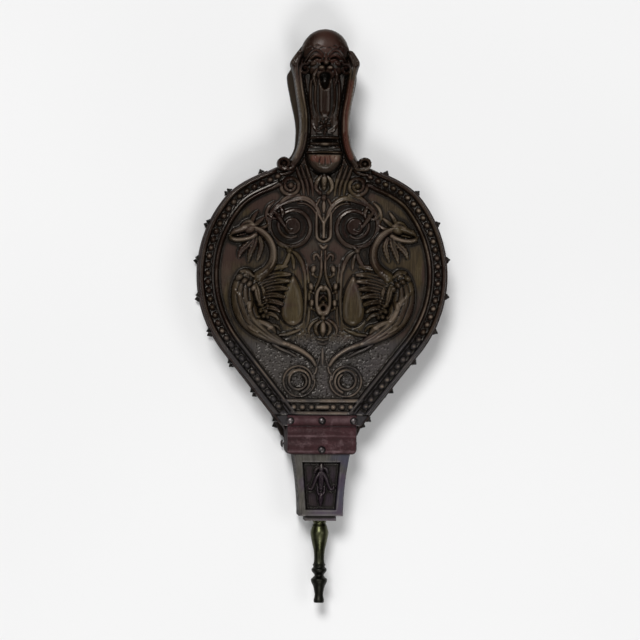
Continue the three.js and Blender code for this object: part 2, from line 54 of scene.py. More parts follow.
# ---- Driving dimensions, in mm, the same as the fixed solids' ----
TOP_Y = 344.5
BODY_R, BODY_Y = 150.0, 50.0
EDGE_INSET = 1.9  # the wood's edge, inside the outer face of the leather bands
HINGE_Y = -131.0
HEAD_END_Y, BLOCK_END_Y, STEP_END_Y = -164.0, -239.0, -245.0
HEAD_HALF = 41.0
BACK_THICK, FRONT_Z, FIELD_Z = 16.0, 50.0, 60.0
LEATHER_TOP = 62.3
DUCT_Z = 33.0
SIDE = math.atan(0.79)
TANGENT = math.pi / 2 + SIDE
SHOULDER_ANGLE = 0.5


# ---- Paths and outlines ----
def spline(points, step=1.0):
    """A smooth path through given rows (x, y, and anything else), sampled about every step."""
    p = np.array(points, float)
    p = np.vstack([2 * p[0] - p[1], p, 2 * p[-1] - p[-2]])
    rows = []
    for a, b, c, d in zip(p, p[1:], p[2:], p[3:]):
        n = max(2, int(np.hypot(*(c - b)[:2]) / step) + 1)
        t = np.linspace(0, 1, n, endpoint=False)[:, None]
        bend, twist = 2 * a - 5 * b + 4 * c - d, 3 * b - a - 3 * c + d
        rows.append(0.5 * (2 * b + (c - a) * t + bend * t**2 + twist * t**3))
    return np.vstack(rows + [p[-2:-1]])


def unit(value):
    """The value, kept between 0 and 1."""
    return np.clip(value, 0, 1)


def arc(cx, cy, r, start, end, n):
    angles = np.linspace(start, end, n)
    return [(cx + r * math.cos(a), cy + r * math.sin(a)) for a in angles]


def shoulder_drop(angle):
    """How much the pear's round part is flattened towards the handles."""
    t = unit((0.9 - angle) / 0.45)
    return 8 * t * t * (3 - 2 * t)


def on_round(angle, inset=0.0):
    """A row (x, y, inward x, inward y) on the pear's right edge, inset square to it."""
    at = lambda a: (BODY_R - shoulder_drop(a)) * np.array([math.sin(a), math.cos(a)]) + [0, BODY_Y]
    ahead = at(angle + 1e-4) - at(angle)
    inward = np.array([ahead[1], -ahead[0]]) / math.hypot(*ahead)
    return np.concatenate([at(angle) + inset * inward, inward])


def pear_path(from_angle, end_y, inset=0.0, step=2.0):
    """Rows (x, y, inward x, inward y) down the pear's right edge."""
    n = max(8, int((TANGENT - from_angle) * (BODY_R - inset) / step))
    rows = [on_round(angle, inset) for angle in np.linspace(from_angle, TANGENT, n)]
    start = on_round(TANGENT, inset)
    for y in np.linspace(start[1], end_y, max(3, int((start[1] - end_y) / step)))[1:]:
        rows.append((start[0] - (start[1] - y) * math.tan(SIDE), y, -math.cos(SIDE), math.sin(SIDE)))
    return np.array(rows)


BACK_TURN_Y = -118.0  # where the back board's edge leaves the front one's
TONGUE_X, TONGUE_Y = 45.0, -146.5


def back_path(from_angle, end_y, inset=0.0, step=2.0):
    """The same for the back board, whose edge runs on more steeply beside the block's head."""
    path = pear_path(from_angle, BACK_TURN_Y, inset, step)
    start = on_round(TANGENT)
    top = np.array([start[0] - (start[1] - BACK_TURN_Y) * math.tan(SIDE), BACK_TURN_Y])
    run = np.array([TONGUE_X, TONGUE_Y]) - top
    run /= math.hypot(*run)
    inward = np.array([run[1], -run[0]])
    reach = (end_y - BACK_TURN_Y) / run[1]
    steps = np.linspace(0, reach, max(3, int(reach / step)))[1:]
    rest = [np.concatenate([top + run * along + inward * inset, inward]) for along in steps]
    return np.vstack([path, rest])


def mirrored(path):
    """The left side's copy of a right-hand path, running the other way."""
    return path[::-1] * np.array([-1, 1, -1, 1])[: path.shape[1]]


def both_sides(path):
    return np.vstack([mirrored(path[1:]), path])


def travel(path):
    """How far along a path each of its rows is."""
    return np.concatenate([[0], np.cumsum(np.hypot(*np.diff(path[:, :2], axis=0).T))])


def pear_inset(x, y):
    """How far in from the pear's edge each point is."""
    angle = np.arctan2(np.abs(x), y - BODY_Y)
    start = on_round(TANGENT)
    on_side = (start[0] - (start[1] - y) * math.tan(SIDE) - np.abs(x)) * math.cos(SIDE)
    return np.where(angle < TANGENT, BODY_R - shoulder_drop(angle) - np.hypot(x, y - BODY_Y), on_side)


def closed(right):
    """A closed outline from its right side, from the top down."""
    right = np.array(right)
    return np.vstack([right, right[::-1] * [-1, 1]])


def front_outline():
    dome = arc(0, TOP_Y - 28.5, 28.5, math.pi / 2, 0.12, 30)
    rail = spline([(33, 318), (38, 311), (41.5, 303), (38, 290), (34, 266), (30, 238), (30, 220), (33, 202),
                   (40.5, 187)])
    scroll = arc(48.5, 183.5, 8, 2.7, -0.7, 16)
    pear = pear_path(SHOULDER_ANGLE, HINGE_Y + 0.5, EDGE_INSET)[:, :2]
    return closed([*dome, *rail, *scroll, (60, 176), *pear])


def back_outline():
    dome = arc(0, TOP_Y - 38, 33, math.pi / 2, 0.1, 30)
    side = spline([(38, 300), (42, 290), (38, 266), (32, 238), (31, 220), (34, 200), (48, 182), (60, 176)])
    pear = back_path(SHOULDER_ANGLE, TONGUE_Y, EDGE_INSET)[:, :2]
    tongue = [(HEAD_HALF, TONGUE_Y - 1.5), *arc(HEAD_HALF - 6, HEAD_END_Y + 6, 6, 0, -math.pi / 2, 8)]
    return closed([*dome, *side, *pear, *tongue])


def inside_distance(x, y, outline):
    """Distance to a closed outline, positive inside it."""
    best = np.full(x.shape, 1e9)
    within = np.zeros(x.shape, bool)
    for (ax, ay), (bx, by) in zip(outline, np.roll(outline, -1, axis=0)):
        dx, dy = bx - ax, by - ay
        length = dx * dx + dy * dy
        if length < 1e-9:
            continue
        t = unit(((x - ax) * dx + (y - ay) * dy) / length)
        best = np.minimum(best, (x - ax - t * dx) ** 2 + (y - ay - t * dy) ** 2)
        if ay != by:
            within ^= ((ay > y) != (by > y)) & (x < dx * (y - ay) / dy + ax)
    return np.where(within, 1, -1) * np.sqrt(best)


def blurred(a, sigma):
    """A Gaussian blur, sigma in cells."""
    fy, fx = np.fft.fftfreq(a.shape[0])[:, None], np.fft.rfftfreq(a.shape[1])[None]
    return np.fft.irfft2(np.fft.rfft2(a) * np.exp(-2 * (math.pi * sigma) ** 2 * (fx**2 + fy**2)), a.shape)


def patchy(shape, size, seed):
    """Smooth random patches about size cells across, from -1 to 1."""
    a = blurred(np.random.default_rng(seed).standard_normal(shape), size / 2)
    return a / np.abs(a).max()


# ---- Carving ----
SIDES = {True: (1, -1), False: (1,)}  # the sides a stroke is cut on, mirrored or not
CLEAR = 9  # a height this far under the surface changes nothing


class Relief:
    """A carved surface as heights in mm over a grid. Strokes are rows (x, y, half width, height)."""

    def __init__(self, x, y, cell=CELL):
        self.cell = cell
        self.xs, self.ys = np.arange(x[0], x[1] + cell, cell), np.arange(y[0], y[1] + cell, cell)
        self.x, self.y = np.meshgrid(self.xs, self.ys)
        self.h = np.zeros(self.x.shape)
        self.stain_and_shade = np.zeros(self.x.shape)  # from -1, palest where worn away and where a highlight is painted, to 1, darkest where stained and where shade is painted
        self.ruddy = np.zeros(self.x.shape)  # from -1, greyed by dust, to 1, faded to red

    def from_eye(self, x, y):
        """How far each point is from (x, y) or from its mirror image, whichever is on the same side."""
        return np.hypot(np.abs(self.x) - x, self.y - y)

    def window(self, x0, x1, y0, y1):
        i0, i1 = np.searchsorted(self.xs, (x0, x1))
        j0, j1 = np.searchsorted(self.ys, (y0, y1))
        return np.s_[max(j0 - 1, 0) : j1 + 1, max(i0 - 1, 0) : i1 + 1]

    def raise_to(self, window, height, soft=0.35):
        old = self.h[window]
        t = unit(0.5 + 0.5 * (height - old) / soft)
        self.h[window] = old * (1 - t) + height * t + soft * t * (1 - t)

    def along(self, rows):
        """Where points near a path lie on it: their window, how far across in half widths, unsigned and
        signed, how far along in mm, and the path's height there."""
        reach = rows[:, 2].max() + 2 * self.cell
        (x0, y0), (x1, y1) = rows[:, :2].min(axis=0) - reach, rows[:, :2].max(axis=0) + reach
        w = self.window(x0, x1, y0, y1)
        x, y = self.x[w], self.y[w]
        across = np.full(x.shape, 9.0)
        signed, run, height = (np.zeros(x.shape) for _ in range(3))
        travelled = 0.0
        for a, b in zip(rows, rows[1:]):
            d = b[:2] - a[:2]
            length = math.hypot(*d)
            if length < 1e-6:
                continue
            m = max(a[2], b[2]) + self.cell
            near = np.abs(x - (a[0] + b[0]) / 2) < m + abs(d[0]) / 2
            near &= np.abs(y - (a[1] + b[1]) / 2) < m + abs(d[1]) / 2
            px, py = x[near] - a[0], y[near] - a[1]
            t = unit((px * d[0] + py * d[1]) / length**2)
            qx, qy = px - t * d[0], py - t * d[1]
            u = np.hypot(qx, qy) / np.maximum(a[2] + t * (b[2] - a[2]), 1e-3)
            closer = u < across[near]
            values = u, np.sign(d[0] * qy - d[1] * qx) * u, travelled + t * length, a[3] + t * (b[3] - a[3])
            for array, value in zip((across, signed, run, height), values):
                array[near] = np.where(closer, value, array[near])
            travelled += length
        return w, across, signed, run, height

    def stroke(self, points, shape="round", mirror=True, soft=0.35, base=0.0, **detail):
        """A raised stroke along points, over a base height, and its mirror image."""
        for side in SIDES[mirror]:
            rows = spline(points) * [side, 1, 1, 1]
            w, u, signed, run, height = self.along(rows)
            top = SHAPES[shape](u, signed * side, run, height, **detail) + base
            self.raise_to(w, np.where(u < 1, top, self.h[w] - CLEAR), soft)

    def leaf(self, points, vein=0.3, **detail):
        self.stroke(points, "leaf", vein=vein, **detail)

    def upright(self, rows, shape="round", **detail):
        """A stroke on the middle line, from rows (y, half width, height)."""
        self.stroke([(0, *row) for row in rows], shape, mirror=False, **detail)

    def swag(self, end, middle):
        """A stroke across the middle line: right end (x, y, half width, height), middle (y, ...)."""
        self.stroke([(-end[0], *end[1:]), (0, *middle), end], mirror=False)

    def groove(self, points, mirror=True):
        """A cut along points: height is its depth."""
        for side in SIDES[mirror]:
            w, u, _, _, depth = self.along(spline(points) * [side, 1, 1, 1])
            self.h[w] -= np.where(u < 1, depth * (1 - u**2), 0)

    def paint(self, layer, rows, amount, sides=(1, -1)):
        """Adds to a layer along rows (x, y, half width), and a share where it isn't the whole amount."""
        rows = [(*row, 1)[:4] for row in rows]
        for side in sides:
            w, u, _, _, share = self.along(spline(rows) * [side, 1, 1, 1])
            layer[w] += amount * share * unit(1.15 - u**2)

    def rub_and_highlight(self, rows, amount=1.0, sides=(1, -1)):
        """Marks where hands have worn the stain away."""
        # Pales the colour along rows: where hands have taken it off, and painted highlights.
        self.paint(self.stain_and_shade, rows, -amount, sides)

    def patch(self, x, y, reach):
        """The window round a place, and how far each of its points is from there in x and y."""
        m = reach + self.cell
        w = self.window(x - m, x + m, y - m, y + m)
        return w, self.x[w] - x, self.y[w] - y

    def bead(self, x, y, rx, ry, height, base=0.0, angle=0.0, mirror=True):
        for side in SIDES[mirror and x != 0]:
            w, dx, dy = self.patch(side * x, y, max(rx, ry))
            c, s = math.cos(angle * side), math.sin(angle * side)
            u = np.hypot((dx * c + dy * s) / rx, (dy * c - dx * s) / ry)
            top = base + (height - base) * np.sqrt(unit(1 - u**2))
            self.raise_to(w, np.where(u < 1, top, self.h[w] - CLEAR), 0.2)

    def hollow(self, x, y, rx, ry, depth, mirror=True):
        for side in SIDES[mirror and x != 0]:
            w, dx, dy = self.patch(side * x, y, max(rx, ry))
            self.h[w] -= depth * unit(1 - np.hypot(dx / rx, dy / ry) ** 2) ** 0.7

    def volute(self, x, y, start, turns, r0, r1, width, height, eye=None, mirror=True, lead=()):
        """A spiral stroke from radius r0 in to r1, after any lead-in points."""
        n = int(abs(turns) * 12) + 2
        points = list(lead)
        for i in range(n):
            t = i / (n - 1)
            a, r = start + turns * 2 * math.pi * t, r0 + (r1 - r0) * t**0.9
            shape = (first + (last - first) * t for first, last in (width, height))
            points.append((x + r * math.cos(a), y + r * math.sin(a), *shape))
        self.stroke(points, "band", mirror=mirror)
        if eye:
            self.bead(x, y, eye[0], eye[0], eye[1], mirror=mirror)


def round_shape(u, signed, run, height):
    return height * unit(1 - u**2) ** 0.55


def band_shape(u, signed, run, height):
    """A rounded band with a thin lip on its outer side."""
    body = 0.82 * unit(1 - u**2) ** 0.4
    lip = unit(1 - ((signed + 0.55) / 0.42) ** 2) ** 0.5
    return height * np.maximum(body, lip)


def leaf_shape(u, signed, run, height, lobe=0.0, vein=0.3):
    """A leaf or feather: a veined, crowned blade with a lobed edge."""
    edge = 1 - lobe * (0.5 + 0.5 * np.cos(run * 2 * math.pi / 4.2))
    u = u / np.maximum(edge, 0.3)
    blade = unit(1 - u**2) ** 0.5
    return height * blade * (1 - vein * np.exp(-((u / 0.2) ** 2))) - 3 * (u > 1)


def ribbed_shape(u, signed, run, height, pitch, depth):
    """A round body crossed by scales."""
    body = unit(1 - u**2) ** 0.5
    phase = run / pitch + np.abs(signed) * 0.9
    return height * body * (1 - depth * (1 - np.abs(np.sin(math.pi * phase))))


def plumed_shape(u, signed, run, height, strands, depth):
    """A body with lengthways plumes."""
    body = unit(1 - u**2) ** 0.5
    lines = np.abs(np.sin(math.pi * (signed + 1) / 2 * strands + 0.25 * np.sin(run / 5)))
    return height * body * (1 - depth * (1 - lines) ** 2 * (u < 0.93))


SHAPES = {"round": round_shape, "band": band_shape, "leaf": leaf_shape, "ribbed": ribbed_shape,
          "plumed": plumed_shape}


def profile(n, knots):
    """A moulding's height from listed (inset, height) pairs."""
    return np.interp(n, *zip(*knots))


BEAD_PITCH = 10.0
BAND_Y = -108.0  # middle of the beaded band over the hinge leather
TAIL_EYE = (28.6, -76.5)  # middle of a tail's volute
SCROLL_EYE = (37.8, 108.5)  # middle of a C-scroll
CURL = (40, 157)  # middle of the small volute at the handle's root
LIP_Y = -117.0  # the front board is flat from here on, under the hinge leather
GUSSET_END_Y = -128.5  # where the gusset leaves the pear's edge to go under the hinge leather


def carve_border(r):
    """The beaded border of the pear, and the beaded band that closes it above the hinge leather."""
    n = pear_inset(r.x, r.y)
    angle = np.arctan2(np.abs(r.x), r.y - BODY_Y)
    moulding = [(0, 2.2), (2, 3), (3, 4.6), (4.4, 5.2), (5.8, 4.6), (6.8, 2), (7.6, 0.9), (11.5, 0.5),
                (15.6, 0.8), (16.6, 2), (18.6, 2.2), (19.6, 2.9), (20.4, 5.2), (21.6, 6.2), (22.8, 5.4),
                (23.8, 2.4), (25, 0)]
    border = profile(n, moulding) * unit((angle - 0.42) / 0.04)
    cross = [(-136, 3), (-118.4, 3.2), (-117.4, 4.6), (-115.4, 5.6), (-113.4, 4.4), (-112.4, 0.9),
             (-108, 0.5), (-103.6, 0.9), (-102.4, 4.2), (-100.4, 5.2), (-98.6, 4), (-97.2, 0)]
    bottom = profile(r.y, cross)
    inner = unit((n - 17.5) / 1.5)
    r.h = np.maximum(border, bottom * inner)
    path = pear_path(0.44, -107, 11.6, 0.5)[:, :2]
    travelled = travel(path)
    count = int(travelled[-1] / BEAD_PITCH)
    for i in range(count + 1):
        x, y = (np.interp(travelled[-1] * i / count, travelled, path[:, k]) for k in (0, 1))
        tilt = math.atan2(x, y - BODY_Y) if y > -45 else TANGENT
        r.bead(x, y, 4.3, 3.7, 6.2 + 0.4 * rng.uniform(-1, 1), base=-0.5, angle=-tilt)
        # the beads' tops paler, worn and as painted highlights, stronger on the right side
        for side, least, most in ((1, 0.5, 1.7), (-1, 0.2, 1.1)):
            r.rub_and_highlight([(x - 0.8, y, 1.6), (x, y, 1.8), (x + 0.8, y, 1.6)], rng.uniform(least, most), (side,))
    for x in (13, 23.8, 34.4):
        r.bead(x, BAND_Y, 4, 3.8, 6.2, base=-0.5)
        # painted highlights on the band's beads, partly worn
        r.rub_and_highlight([(x - 0.6, BAND_Y, 1.4), (x + 0.6, BAND_Y, 1.4)], 1.2)
    rail = pear_path(0.5, -98, 21.8, 9)[:, :2]
    # a painted highlight along the inner ridge, longer on the right side
    r.rub_and_highlight([(x, y, 1.1) for x, y in rail if -40 < y < 150], 0.8, (1,))
    r.rub_and_highlight([(x, y, 1.1) for x, y in rail if y < 0], 0.8, (-1,))
    r.swag((6.2, BAND_Y, 3.5, 6.2), (BAND_Y, 3.7, 6.4))
    # painted highlights on the band's middle, partly worn
    r.rub_and_highlight([(0, BAND_Y, 1.3), (5.6, BAND_Y, 1.3)])


def carve_centre(r):
    """The candelabrum between the dragons, the barred niche over it, and the two smooth panels."""
    ring = spline([(36, 50), (41, 44), (47, 31), (50.5, 12), (49, -1), (43.5, -8), (36.5, -11), (29.5, -8.6),
                   (24.2, -2), (22.6, 12), (26, 31), (31.5, 44), (36, 50)])
    for side in (1, -1):
        w = r.window(side * 36 - 17, side * 36 + 17, -14, 53)
        d = inside_distance(r.x[w], r.y[w], ring[:-1] * [side, 1])
        top = 4.6 * unit(1 - (1 - unit(d / 8.5)) ** 2) ** 0.55
        r.raise_to(w, np.where(d > 0, top, r.h[w] - CLEAR), 0.2)
        r.h[w] -= 1.6 * np.exp(-(((d + 0.8) / 1.1) ** 2))
    # soft hanging folds between stems and panels
    for x, low, high in ((16.4, -12, 62), (20.8, -6, 70)):
        r.stroke([(x + 3, high, 1, 0.6), (x + 1.5, high - 14, 1.9, 1.7), (x, (low + high) / 2, 2.2, 2),
                  (x + 0.6, low + 12, 1.9, 1.8), (x + 2.5, low, 1, 0.6)])
    # niche with a forked bar
    r.stroke([(-8.6, 125, 1.9, 3.6), (-8.6, 101, 2, 4), (-6.6, 93.5, 2, 4.2), (0, 90.4, 2, 4.4),
              (6.6, 93.5, 2, 4.2), (8.6, 101, 2, 4), (8.6, 125, 1.9, 3.6)], mirror=False)
    r.hollow(0, 108, 6.6, 18, 2.6)
    r.upright([(95.5, 2.2, 4.8), (104, 2, 5.6), (113, 2.4, 6.6)])
    # pale spots on the bar, worn and as painted highlights
    r.rub_and_highlight([(0, 96, 1.2), (0, 114, 1.6), (0, 120, 1, 0.4)], 1.3, (1,))
    r.stroke([(0, 111, 1.9, 6), (2.8, 117, 1.8, 5.4), (6.2, 122.5, 1.6, 4.4)])
    r.stroke([(4, 86, 1.4, 2.4), (0, 82.6, 2.4, 4), (-4, 86, 1.4, 2.4)], mirror=False)
    # stems that part round the capsule, with curled leaves and pairs of buds
    r.stroke([(2.2, 79, 1.3, 3), (2.4, 70, 1.7, 4.2), (2.2, 60, 1.9, 4.6), (3.2, 50, 2, 4.8), (6, 41, 2.1, 5),
              (9.4, 33, 1.8, 3.6), (10.8, 22, 1.4, 2.4)])
    r.stroke([(3, 67, 1.2, 2.6), (7.5, 74.5, 2, 4.2), (11.4, 73, 1.9, 4), (11.2, 68.6, 1.2, 2.8)])
    for x, y, tilt in ((11.9, 57.2, 0.3), (14.6, 36.2, -0.25), (13.6, 16.6, 0.1)):
        r.bead(x, y, 3.2, 4.9, 8, base=-0.6, angle=tilt)
        # painted highlights on the buds, partly worn
        r.rub_and_highlight([(x, y + 2.4, 1.8), (x, y - 1.6, 1.8)])
        r.bead(x + 0.4, y - 6, 2.1, 2.4, 4.4, angle=tilt)
        r.stroke([(5.2, y - 9, 1.2, 2.4), (8.8, y - 9.4, 1.4, 3), (x + 0.4, y - 6, 1.3, 3)])
        r.hollow(x + 4.4, y, 1.6, 4.4, 1)
    r.bead(0, 34, 5.4, 4.2, 8.6)
    r.hollow(0, 33.4, 1.3, 1.5, 2.6)
    r.stroke([(2.6, 36.5, 2.2, 7.6), (6.8, 30, 2.5, 8), (7.9, 20, 2.5, 8.2), (7.2, 11, 2.5, 8.4),
              (4.6, 4.4, 2.3, 8.2), (0, 2.4, 2.3, 8)])
    r.hollow(0, 24.4, 4.4, 3.6, 2)
    r.stroke([(0, 25.6, 2.1, 6.4), (3.4, 22.4, 1.7, 5.2), (4.8, 18.6, 1.2, 3.4)])
    r.bead(0, 17.8, 2.6, 1.9, 6.6)
    r.volute(0, 10.4, math.pi / 2, 1, 4.3, 4.3, (2.3, 2.3), (8.8, 8.8), mirror=False)
    r.hollow(0, 10.4, 2.4, 2.6, 4.4)
    r.bead(0, -1.2, 3.4, 3.2, 8)
    # painted highlights, partly worn, on the capsule's ring, its curl and the stem below
    r.rub_and_highlight([(2.6, 36.5, 1.8), (6.8, 30, 2.1), (7.9, 20, 2.1), (7.2, 11, 2.1), (4.6, 4.4, 1.9)], 0.9)
    r.rub_and_highlight([(-5.4, 11, 1.6), (-4.4, 6.6, 1.8), (0, 5, 1.8), (4.4, 6.6, 1.8), (5.4, 11, 1.6)], 0.9, (1,))
    r.rub_and_highlight([(0, -9, 2.4), (0, -16, 3)], 1, (1,))
    # painted shade in the capsule's two hollows
    for y in (10.4, 25):
        r.paint(r.stain_and_shade, [(0, y - 1, 2.6), (0, y + 1, 2.6)], 1.6, (1,))
    r.upright([(-5, 2.2, 5), (-11, 4.2, 8), (-16.6, 4, 9), (-22.6, 1.4, 3.6)])
    r.leaf([(2.6, -4.8, 1.7, 4.2), (8, -10, 2.6, 5.6), (8.4, -17, 2.2, 4.6), (5.6, -21.5, 1.2, 2.4)])
    r.leaf([(6, -3, 1.3, 2.4), (13, -8, 2, 3.4), (17, -15, 1.6, 2.6), (16, -20, 1, 1.4)])
    r.swag((6.4, -26.2, 1.3, 2.8), (-27.6, 1.6, 3.4))
    r.swag((4.6, -31.4, 1.2, 2.4), (-32.6, 1.4, 2.8))
    r.upright([(-38, 1.6, 1.2), (-47, 2, 2), (-57, 1.2, 1.2)])


def carve_scrolls(r):
    """The big C-scrolls over the dragons, the small volutes under the handle, and their leaves."""
    lead = [(3.6, 119, 1.7, 3.2), (7.5, 129, 2.6, 4), (15.5, 138, 3.3, 4.4), (26, 142.2, 3.6, 4.6)]
    r.volute(*SCROLL_EYE, 1.5, -1.55, 31, 13.2, (3.4, 1.7), (4, 3), lead=lead)
    r.stroke([(8.6, 122, 1.2, 2.4), (13.6, 130, 1.4, 2.8), (22, 135.4, 1.4, 2.8), (31, 136, 1.3, 2.6)])
    w = r.from_eye(*SCROLL_EYE)
    r.h = np.where(w < 10.4, np.maximum(r.h, 3 * unit((10.4 - w) / 1.2) ** 0.5), r.h)
    r.stroke([(37, 104.5, 1.4, 4.2), (41.6, 102.6, 1.8, 5.2), (45.4, 106.6, 1.8, 5.4),
              (44.2, 111.6, 1.3, 4.4)])
    # leaves that spring from the scrolls' backs, and the sprig that crosses them
    r.leaf([(44, 105, 1.5, 4.4), (49.4, 112, 2.6, 6.8), (54.4, 119.4, 3.2, 7.6), (60, 126.6, 1.6, 4.6)], 0.2)
    r.leaf([(50, 118, 1.4, 4), (49.6, 125.6, 2.8, 6.4), (52.6, 133, 1.4, 3.8)], 0.2)
    r.leaf([(55, 117, 1.4, 4), (62, 118.4, 2.6, 5.6), (67.6, 123.4, 1.2, 3)], 0.2)
    r.bead(54.4, 121.6, 3.4, 3, 9, angle=0.7)
    r.leaf([(30, 146, 2, 3.6), (40, 144.4, 3.2, 5.4), (49, 139, 2.6, 4.6), (56, 131, 1.2, 2.8)], 0.2)
    r.leaf([(60, 137, 1.2, 2.4), (66, 131, 2.2, 3.8), (69, 122, 2, 3.4), (68, 113, 1, 1.8)], 0.2)
    # bud and long leaves under each scroll
    r.bead(40.6, 79.4, 3.8, 3.5, 8.2)
    r.stroke([(35, 84.6, 1.6, 3.8), (40.8, 81.4, 2.6, 5.2), (46.4, 84.6, 1.6, 3.8)])
    r.leaf([(40.6, 77, 2, 4.6), (42.4, 70, 3, 5), (46.6, 62, 2.6, 4.4), (52, 54.4, 1.4, 2.6)], 0.2)
    r.leaf([(36.6, 78, 1.8, 4), (30.6, 73, 2.8, 4.4), (25.6, 64, 2.6, 3.6), (23, 53, 1.2, 1.8)], 0.2)
    r.leaf([(38.6, 76, 1.5, 3.4), (36, 67, 2.4, 3.8), (35.2, 58, 1.2, 2.2)], 0.2)
    # small volutes at the root of the handle: the border's inner ridge runs on into them
    w = r.from_eye(*CURL)
    r.h = np.where(w < 11.5, np.maximum(r.h, 3.2), r.h)
    r.volute(*CURL, 0.1, -1.5, 12.4, 5.4, (2.4, 2), (7.2, 7.4), eye=(4.2, 9.6),
             lead=[(60.5, 155, 1.9, 6), (56, 157.4, 2.2, 6.8)])
    # flutes over the scrolls, beside the cup
    for x0, x1 in ((13, 22), (18.5, 28), (24, 34)):
        r.stroke([(x0, 146, 1.2, 1.4), (x0 + 1.5, 158, 2.4, 3), ((x0 + x1) / 2 + 1, 170, 2.7, 3.8),
                  (x1, 181, 1.6, 4.6)])
    r.paint(r.stain_and_shade, [(17, 150, 6), (20, 162, 7), (26, 174, 7)], 0.6)
    # pendant between them
    r.upright([(172, 2.8, 5.4), (164, 3.8, 7.6), (154, 2.4, 5.4)], "leaf", vein=0.15)
    r.bead(0, 158.8, 3, 3.6, 9.4)
    r.leaf([(3.2, 170, 1.8, 4.4), (8, 163, 2.8, 6.4), (9.8, 155.5, 2.4, 5.8), (7.2, 150, 1.5, 4)])
    r.hollow(5.2, 157.5, 1.7, 5.2, 1.6)
    r.bead(0, 142.8, 3.4, 4, 8.4)
    r.bead(5, 148.6, 2.5, 3.1, 6.6, angle=-0.6)
    r.upright([(138, 1.8, 4), (132, 2.8, 4.6), (126, 1.5, 3)])
    r.stroke([(5, 141, 1.4, 3.4), (8.4, 134.6, 1.6, 3.4), (8.8, 128, 1.3, 3)])


